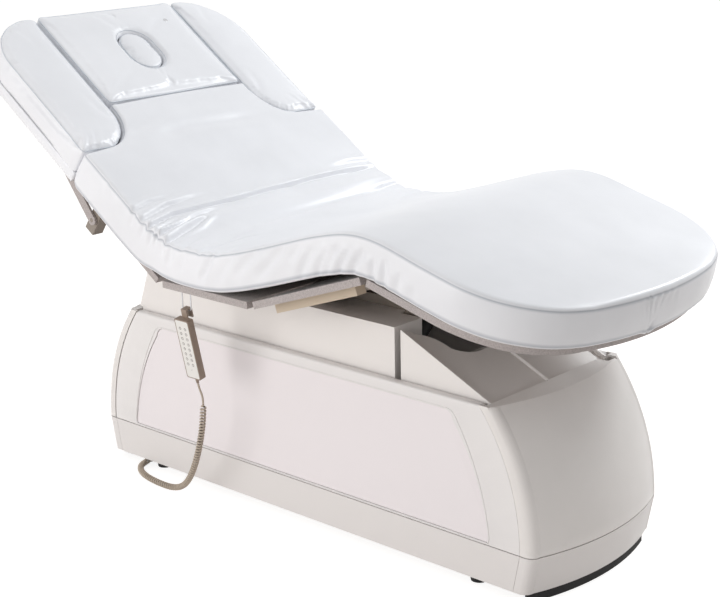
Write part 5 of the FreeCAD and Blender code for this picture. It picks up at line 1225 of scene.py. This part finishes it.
def field_trim(name, sign):
    """Thin bead on the side panel, round the opening of the sunk field."""
    points = bowed((-560, 112), (-461, 381), 18.0) + bowed((461, 381), (560, 112), 18.0)
    radii = [4.0] * len(points)
    for corner in (0, BOW_POINTS - 1, BOW_POINTS, 2 * BOW_POINTS - 1):
        radii[corner] = 20.0
    loop = rounded_loop(points, radii, 6.0)
    loop = loop + loop_out(loop) * BEAD_GAP
    line = np.array([cab(x, sign * FIELD_FACE, z) for x, z in loop])
    bead = tube(name, line, BEAD_RADIUS * MM, MATS["white_panel"], closed=True)
    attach(bead, "base")


make_head()
for side_name, sign in SIDES:
    make_arm(side_name, sign)
for side_name, sign in SIDES:
    field_trim(f"field_trim_{side_name}", sign)
make_plug()


# Floor, backdrop and light

FLOOR_HALF, FLOOR_LEVEL = 30, -0.0005
FLOOR_COLOR, FLOOR_GLOW, FLOOR_SEEN = (0.80, 0.76, 0.73, 1), 1.9, 0.55
SKY_STRENGTH = 0.45
WHITE = (1.0, 1.0, 1.0, 1)


def seen_share(tree):
    """One for the rays that show the surroundings: camera, glossy and transmission rays."""
    ray = tree.nodes.new("ShaderNodeLightPath")
    total = ray.outputs["Is Camera Ray"]
    for name in ("Is Glossy Ray", "Is Transmission Ray"):
        added = tree.nodes.new("ShaderNodeMath")
        added.operation = "MAXIMUM"
        tree.links.new(total, added.inputs[0])
        tree.links.new(ray.outputs[name], added.inputs[1])
        total = added.outputs[0]
    return total


def mixed(tree, share, first, second):
    """Shader that goes from the first to the second with the share, a number or a socket."""
    made = tree.nodes.new("ShaderNodeMixShader")
    if isinstance(share, float):
        made.inputs[0].default_value = share
    else:
        tree.links.new(share, made.inputs[0])
    tree.links.new(first.outputs[0], made.inputs[1])
    tree.links.new(second.outputs[0], made.inputs[2])
    return made


def background(tree, strength):
    made = tree.nodes.new("ShaderNodeBackground")
    made.inputs["Color"].default_value = WHITE
    made.inputs["Strength"].default_value = strength
    return made


def make_floor():
    mat = bpy.data.materials.new("stage_white")
    mat.use_nodes = True
    tree = mat.node_tree
    tree.nodes.clear()
    out = tree.nodes.new("ShaderNodeOutputMaterial")
    diffuse = tree.nodes.new("ShaderNodeBsdfDiffuse")
    diffuse.inputs["Color"].default_value = FLOOR_COLOR
    glow = tree.nodes.new("ShaderNodeEmission")
    glow.inputs["Strength"].default_value = FLOOR_GLOW
    seen = mixed(tree, FLOOR_SEEN, glow, diffuse)
    tree.links.new(mixed(tree, seen_share(tree), diffuse, seen).outputs[0], out.inputs["Surface"])
    corners = [(-1, -1), (1, -1), (1, 1), (-1, 1)]
    mesh = bpy.data.meshes.new("floor")
    mesh.from_pydata([(x * FLOOR_HALF, y * FLOOR_HALF, FLOOR_LEVEL) for x, y in corners], [], [(0, 1, 2, 3)])
    floor = finish_piece("floor", mesh, mat)


def make_world():
    world = bpy.data.worlds.new("studio")
    scene.world = world
    world.use_nodes = True
    tree = world.node_tree
    sky, seen = background(tree, SKY_STRENGTH), background(tree, 1.0)
    shown = mixed(tree, seen_share(tree), sky, seen)
    tree.links.new(shown.outputs[0], tree.nodes["World Output"].inputs["Surface"])


def area(name, place, target, size, power, color):
    data = bpy.data.lights.new(name, "AREA")
    data.shape = "RECTANGLE"
    data.size, data.size_y = size
    data.energy = power
    data.color = color
    lamp = bpy.data.objects.new(name, data)
    scene.collection.objects.link(lamp)
    lamp.location = place
    lamp.rotation_euler = (Vector(target) - Vector(place)).to_track_quat("-Z", "Y").to_euler()


make_floor()
make_world()
area("key", (0.9, 3.0, 2.9), (0.1, 0.0, 0.6), (1.0, 1.0), 72, (0.95, 0.98, 1.0))
area("fill", (-1.1, -4.1, 1.3), (0.05, 0.0, 0.35), (3.2, 2.4), 78, (1.0, 0.988, 0.978))
area("top", (-0.6, 0.2, 4.0), (0.0, 0.0, 0.5), (1.6, 1.6), 14, (1.0, 1.0, 1.0))
scene.view_settings.view_transform = "Standard"
